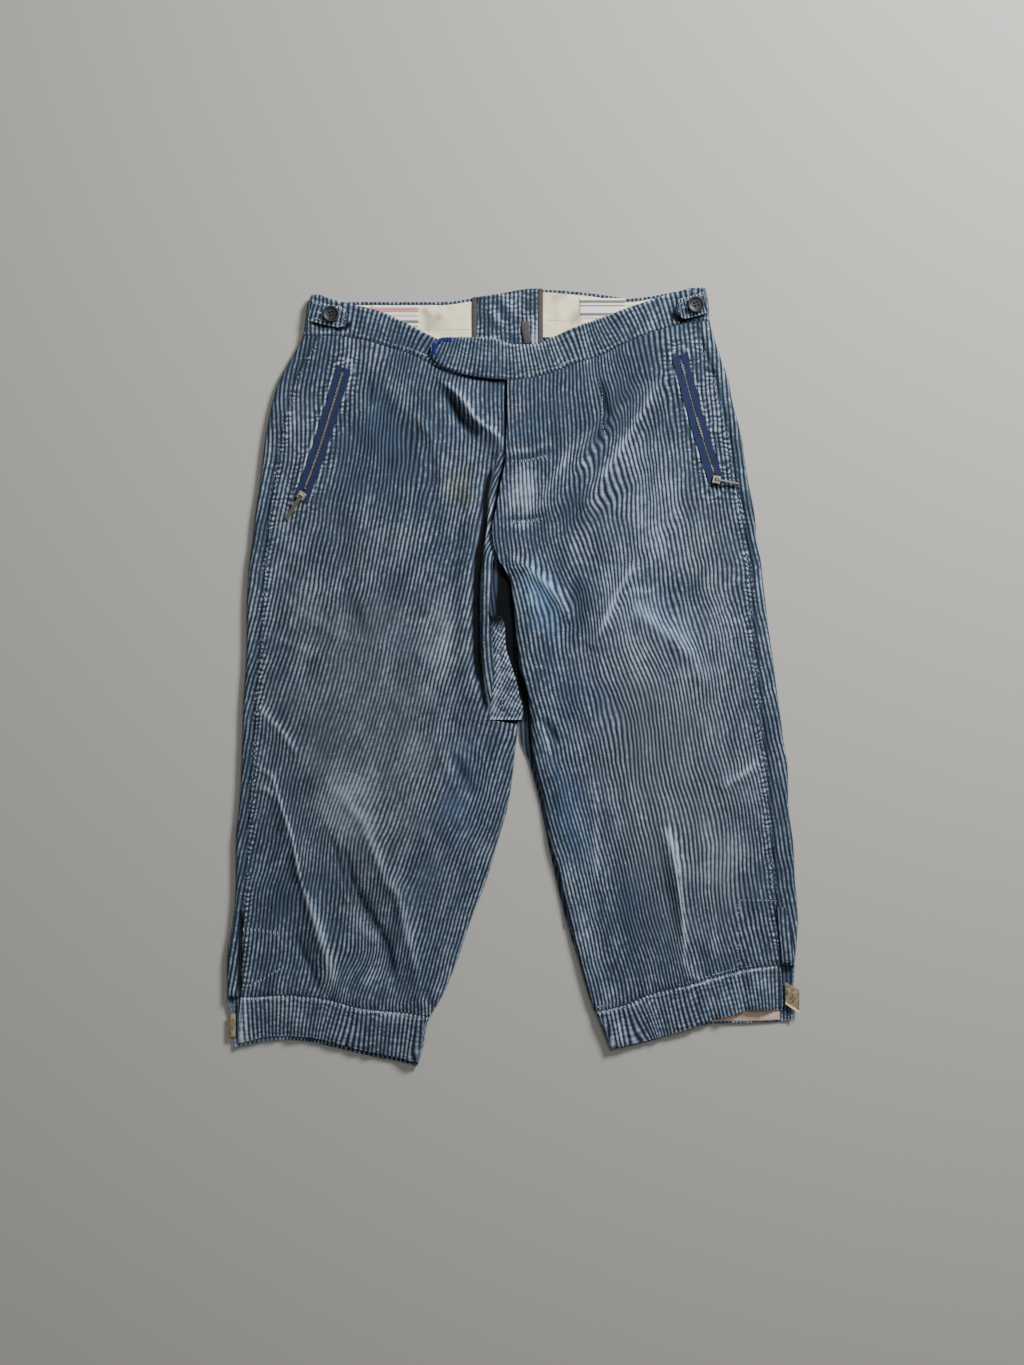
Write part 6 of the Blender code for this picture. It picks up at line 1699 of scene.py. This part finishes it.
def leather_material(made):
    """Tanned hide, scuffed and worn: it looks mottled, darker in blotches of 4 mm, and pale where its edge is
    rubbed."""
    tree = made.node_tree
    place = add_node(tree, "TexCoord", out="Object")
    mottle = add_node(tree, "TexNoise", {"Vector": place, "Scale": 260.0, "Detail": 4.0, "Roughness": 0.6})
    wear = add_node(tree, "Attribute", out="Fac", attribute_name="wear")
    colour = palette("leather")
    for part, limits, over in ((mottle, (0.35, 0.7, 0.0, 1.0), palette("leather_dark")),
                               (wear, (0.35, 0.9, 0.0, 1.0), palette("lining_shade"))):
        share = add_node(tree, "MapRange", (part, *limits), **EASED)
        colour = add_node(tree, "Mix", {SHARE: share, UNDER: colour, OVER: over}, **COLOURS)
    set_surface(made, colour, 0.7, (mottle, 0.2))


# Cotton, hide and horn keep the default index of refraction, 1.5, which is close to theirs. The threads of
# the plain weaves really lie about 0.4 mm apart, and are drawn 0.8 to 1.1 mm apart so that they show.
MAKERS = {
    "corduroy": corduroy_material,
    # Unbleached cotton, plain-woven: warm cream, soiled in soft clouds
    "unbleached cotton": woven_material("lining", "lining_shade", 1.1),
    # Dyed cotton, plain-woven and washed out: dull pink
    "pink cotton": woven_material("facing", "lining", 1.0),
    # Woven cotton tape: grey-brown, darker in blotches
    "brown cotton tape": woven_material("binding", "ink", 1.0),
    # Woven polyester tape: deep blue and even
    "polyester tape": woven_material("zip_tape", "ink", 0.8),
    "red-banded satin": label_material((16.5, 2.4, "label_red", 0.75), (10.5, 1.2, "label_red", 0.5),
                                       (4.5, 1.6, "ink", 0.8)),
    "dark-banded satin": label_material((17.0, 1.5, "ink", 0.8), (12.8, 0.7, "ink", 0.8),
                                        (4.0, 1.5, "ink", 0.8)),
    # Stamped brass, tarnished: dull warm grey reflections
    "tarnished brass": plain_material("brass", 0.42, Metallic=1.0),
    # Turned and polished horn: nearly black, with a satin shine on the rim
    "polished horn": plain_material("horn", 0.5),
    "leather": leather_material,
    # Spun cotton thread, faded pale, and the same dyed strong blue: matt
    "pale cotton thread": plain_material("pale_thread", 0.9),
    "blue cotton thread": plain_material("blue_thread", 0.9),
    # Painted board: even, matt and pale
    "painted board": plain_material("floor", 0.9),
}


class BreechesSizes(bpy.types.PropertyGroup):
    """Sizes of the cloth and the studio."""
    wale_pitch: bpy.props.FloatProperty(
        name="Wale pitch", description="Distance from one wale of the corduroy to the next",
        default=0.0043, min=0.001, max=0.02, unit="LENGTH")
    wale_depth: bpy.props.FloatProperty(
        name="Wale depth", description="Height of a wale over the groove beside it",
        default=0.0006, min=0.0, max=0.002, unit="LENGTH")
    camera_distance: bpy.props.FloatProperty(
        name="Camera distance", description="Height of the camera over the floor",
        default=1.9, min=0.5, max=5.0, unit="LENGTH")
    view_height: bpy.props.FloatProperty(
        name="View height", description="Length of floor that the picture shows from top to bottom",
        default=1.3923, min=0.2, max=5.0, unit="LENGTH")


def colour_property(name, code, description):
    """A colour of the panel, from its sRGB hex value."""
    return bpy.props.FloatVectorProperty(
        name=name, description=description, default=linear(code), min=0.0, max=1.0, subtype="COLOR")


class BreechesColours(bpy.types.PropertyGroup):
    """Colours of the cloths, trimmings and floor."""
    cloth: colour_property("Cloth", "#4a5a6e", "Ridges of the corduroy where it is little worn")
    worn: colour_property("Worn cloth", "#adbfd2", "Ridges of the corduroy where the pile is rubbed pale")
    # The grooves' ground: its own dark dye, deepened as painted shade
    groove: colour_property("Groove", "#0e141d", "Ground between the wales")
    # Painted shade: the near-black colour laid into gaps, deep creases and the inner sides of the cloth
    painted_shade: colour_property("Hidden cloth", "#04060a", "Cloth in gaps and deep creases, which never faded")
    lining: colour_property("Lining", "#fff6d0", "Cotton lining in the waistband")
    lining_shade: colour_property("Lining shade", "#e6d6a6", "Soiled places of the lining")
    facing: colour_property("Facing", "#c9aca0", "Facing inside the knee band")
    binding: colour_property("Binding", "#4f4a4c", "Tape that binds the centre-back panel")
    label: colour_property("Label", "#f6f3ea", "Ground of the labels")
    ink: colour_property("Label ink", "#101218", "Dark threads of the labels")
    label_red: colour_property("Label band", "#b0554c", "Dull red threads of the banded label")
    zip_tape: colour_property("Zip tape", "#11234c", "Woven tape of the pocket zips")
    brass: colour_property("Zip metal", "#a09a8a", "Teeth, sliders and pulls of the zips")
    horn: colour_property("Buttons", "#171c21", "Buttons of the waist adjusters")
    leather: colour_property("Leather", "#9c8c70", "Tab and strap end at the knee bands")
    leather_dark: colour_property("Leather shade", "#57472f", "Dark places of the leather")
    pale_thread: colour_property("Thread", "#9cadbe", "Faded sewing thread")
    blue_thread: colour_property("Overcast thread", "#141c74", "Blue thread round the lap tab")
    floor: colour_property("Floor", "#b1aea8", "Plain floor under the garment")


def dress_metal():
    """Gives the solids that show as they are their metal."""
    for side in LEGS:
        for part in ("zip_slider_", "zip_pull_"):
            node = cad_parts[part + side]
            node.data.materials.clear()
            node.data.materials.append(material("tarnished brass"))


# The lamps, square and aimed at the garment: place in metres, side and power in watts
Lamp = namedtuple("Lamp", "name place side power")
LAMPS = (
    Lamp("overhead", (0.2, 0.8, 2.6), 1.4, 18.0),
    Lamp("window", (1.1, 1.4, 1.15), 0.5, 67.0),
)
FLOOR_SIDE = 8.0
FLOOR_DROP = 0.0004
AIR_COLOUR = (0.95, 0.97, 1.0, 1.0)
AIR_STRENGTH = 0.112
CAMERA_X = -0.00102
CAMERA_Y = -0.00539
FILM_WIDTH = 36.0


def stage():
    """A plain pale floor, a soft light overhead, a firmer one from the top right, and the camera, which
    looks straight down with the focal length that shows the view's height at its distance."""
    scene = bpy.context.scene
    sizes = scene.breeches_sizes
    bpy.ops.mesh.primitive_plane_add(size=FLOOR_SIDE, location=(0, 0, -FLOOR_DROP))
    floor = bpy.context.active_object
    floor.name = "floor"
    floor.data.materials.append(material("painted board"))
    scene.world = bpy.data.worlds.new("studio air")
    scene.world.use_nodes = True
    air = scene.world.node_tree.nodes["Background"].inputs
    air["Color"].default_value = AIR_COLOUR
    air["Strength"].default_value = AIR_STRENGTH
    for lamp in LAMPS:
        data = bpy.data.lights.new(lamp.name, "AREA")
        data.shape = "SQUARE"
        data.size = lamp.side
        data.energy = lamp.power
        item = bpy.data.objects.new(lamp.name, data)
        item.location = lamp.place
        item.rotation_euler = (-Vector(lamp.place)).to_track_quat("-Z", "Y").to_euler()
        scene.collection.objects.link(item)
    data = bpy.data.cameras.new("camera")
    data.sensor_width = FILM_WIDTH
    data.lens = FILM_WIDTH * sizes.camera_distance / sizes.view_height
    camera = bpy.data.objects.new("camera", data)
    camera.location = (CAMERA_X, CAMERA_Y, sizes.camera_distance)
    scene.collection.objects.link(camera)
    scene.camera = camera


class BREECHES_OT_legs(bpy.types.Operator):
    """Builds the two fronts and the two backs"""
    bl_idname = "breeches.legs"
    bl_label = "Build legs"

    def execute(self, context):
        legs()
        return {"FINISHED"}


class BREECHES_OT_gusset(bpy.types.Operator):
    """Builds the gusset at the crotch"""
    bl_idname = "breeches.gusset"
    bl_label = "Build gusset"

    def execute(self, context):
        gusset()
        return {"FINISHED"}


class BREECHES_OT_waistbands(bpy.types.Operator):
    """Builds the front and back waistbands"""
    bl_idname = "breeches.waistbands"
    bl_label = "Build waistbands"

    def execute(self, context):
        waistbands()
        return {"FINISHED"}


class BREECHES_OT_waist_inside(bpy.types.Operator):
    """Builds the linings, centre-back panel, bindings, loop and labels"""
    bl_idname = "breeches.waist_inside"
    bl_label = "Build waist inside"

    def execute(self, context):
        waist_inside()
        return {"FINISHED"}


class BREECHES_OT_knee_bands(bpy.types.Operator):
    """Builds the fronts and backs of the knee bands"""
    bl_idname = "breeches.knee_bands"
    bl_label = "Build knee bands"

    def execute(self, context):
        knee_bands()
        return {"FINISHED"}


class BREECHES_OT_knee_trim(bpy.types.Operator):
    """Builds the underlap, facing, strap end and leather tab"""
    bl_idname = "breeches.knee_trim"
    bl_label = "Build knee trimmings"

    def execute(self, context):
        knee_trim()
        return {"FINISHED"}


class BREECHES_OT_zips(bpy.types.Operator):
    """Builds the zip tapes and teeth"""
    bl_idname = "breeches.zips"
    bl_label = "Build zips"

    def execute(self, context):
        pocket_zips()
        return {"FINISHED"}


class BREECHES_OT_adjusters(bpy.types.Operator):
    """Builds the side tabs and their buttons"""
    bl_idname = "breeches.adjusters"
    bl_label = "Build adjusters"

    def execute(self, context):
        adjusters()
        return {"FINISHED"}


class BREECHES_OT_stitching(bpy.types.Operator):
    """Builds the sewing threads"""
    bl_idname = "breeches.stitching"
    bl_label = "Build stitching"

    def execute(self, context):
        stitching()
        return {"FINISHED"}


class BREECHES_OT_metal(bpy.types.Operator):
    """Gives the sliders and pulls their metal"""
    bl_idname = "breeches.metal"
    bl_label = "Dress metal"

    def execute(self, context):
        dress_metal()
        return {"FINISHED"}


class BREECHES_OT_stage(bpy.types.Operator):
    """Builds the floor, the lights and the camera"""
    bl_idname = "breeches.stage"
    bl_label = "Build stage"

    def execute(self, context):
        stage()
        return {"FINISHED"}


OPERATORS = (
    BREECHES_OT_legs, BREECHES_OT_gusset, BREECHES_OT_waistbands, BREECHES_OT_waist_inside,
    BREECHES_OT_knee_bands, BREECHES_OT_knee_trim, BREECHES_OT_zips, BREECHES_OT_adjusters,
    BREECHES_OT_stitching, BREECHES_OT_metal, BREECHES_OT_stage)


class BREECHES_PT_panel(bpy.types.Panel):
    """Sizes, colours and building steps."""
    bl_label = "Breeches"
    bl_space_type = "VIEW_3D"
    bl_region_type = "UI"
    bl_category = "Breeches"

    def draw(self, context):
        layout = self.layout
        for group in (context.scene.breeches_sizes, context.scene.breeches_colours):
            column = layout.column()
            for name in group.__annotations__:
                column.prop(group, name)
        for step in OPERATORS:
            layout.operator(step.bl_idname)


CLASSES = (BreechesSizes, BreechesColours, *OPERATORS, BREECHES_PT_panel)


def register():
    """Registers the classes and hangs the two groups of settings on the scene."""
    for item in CLASSES:
        bpy.utils.register_class(item)
    bpy.types.Scene.breeches_sizes = bpy.props.PointerProperty(type=BreechesSizes)
    bpy.types.Scene.breeches_colours = bpy.props.PointerProperty(type=BreechesColours)


def unregister():
    """Undoes what register did."""
    del bpy.types.Scene.breeches_colours
    del bpy.types.Scene.breeches_sizes
    for item in reversed(CLASSES):
        bpy.utils.unregister_class(item)


def main():
    """Builds everything in order."""
    register()
    for step in OPERATORS:
        getattr(bpy.ops.breeches, step.bl_idname.split(".")[1])()


if __name__ == "__main__":
    main()
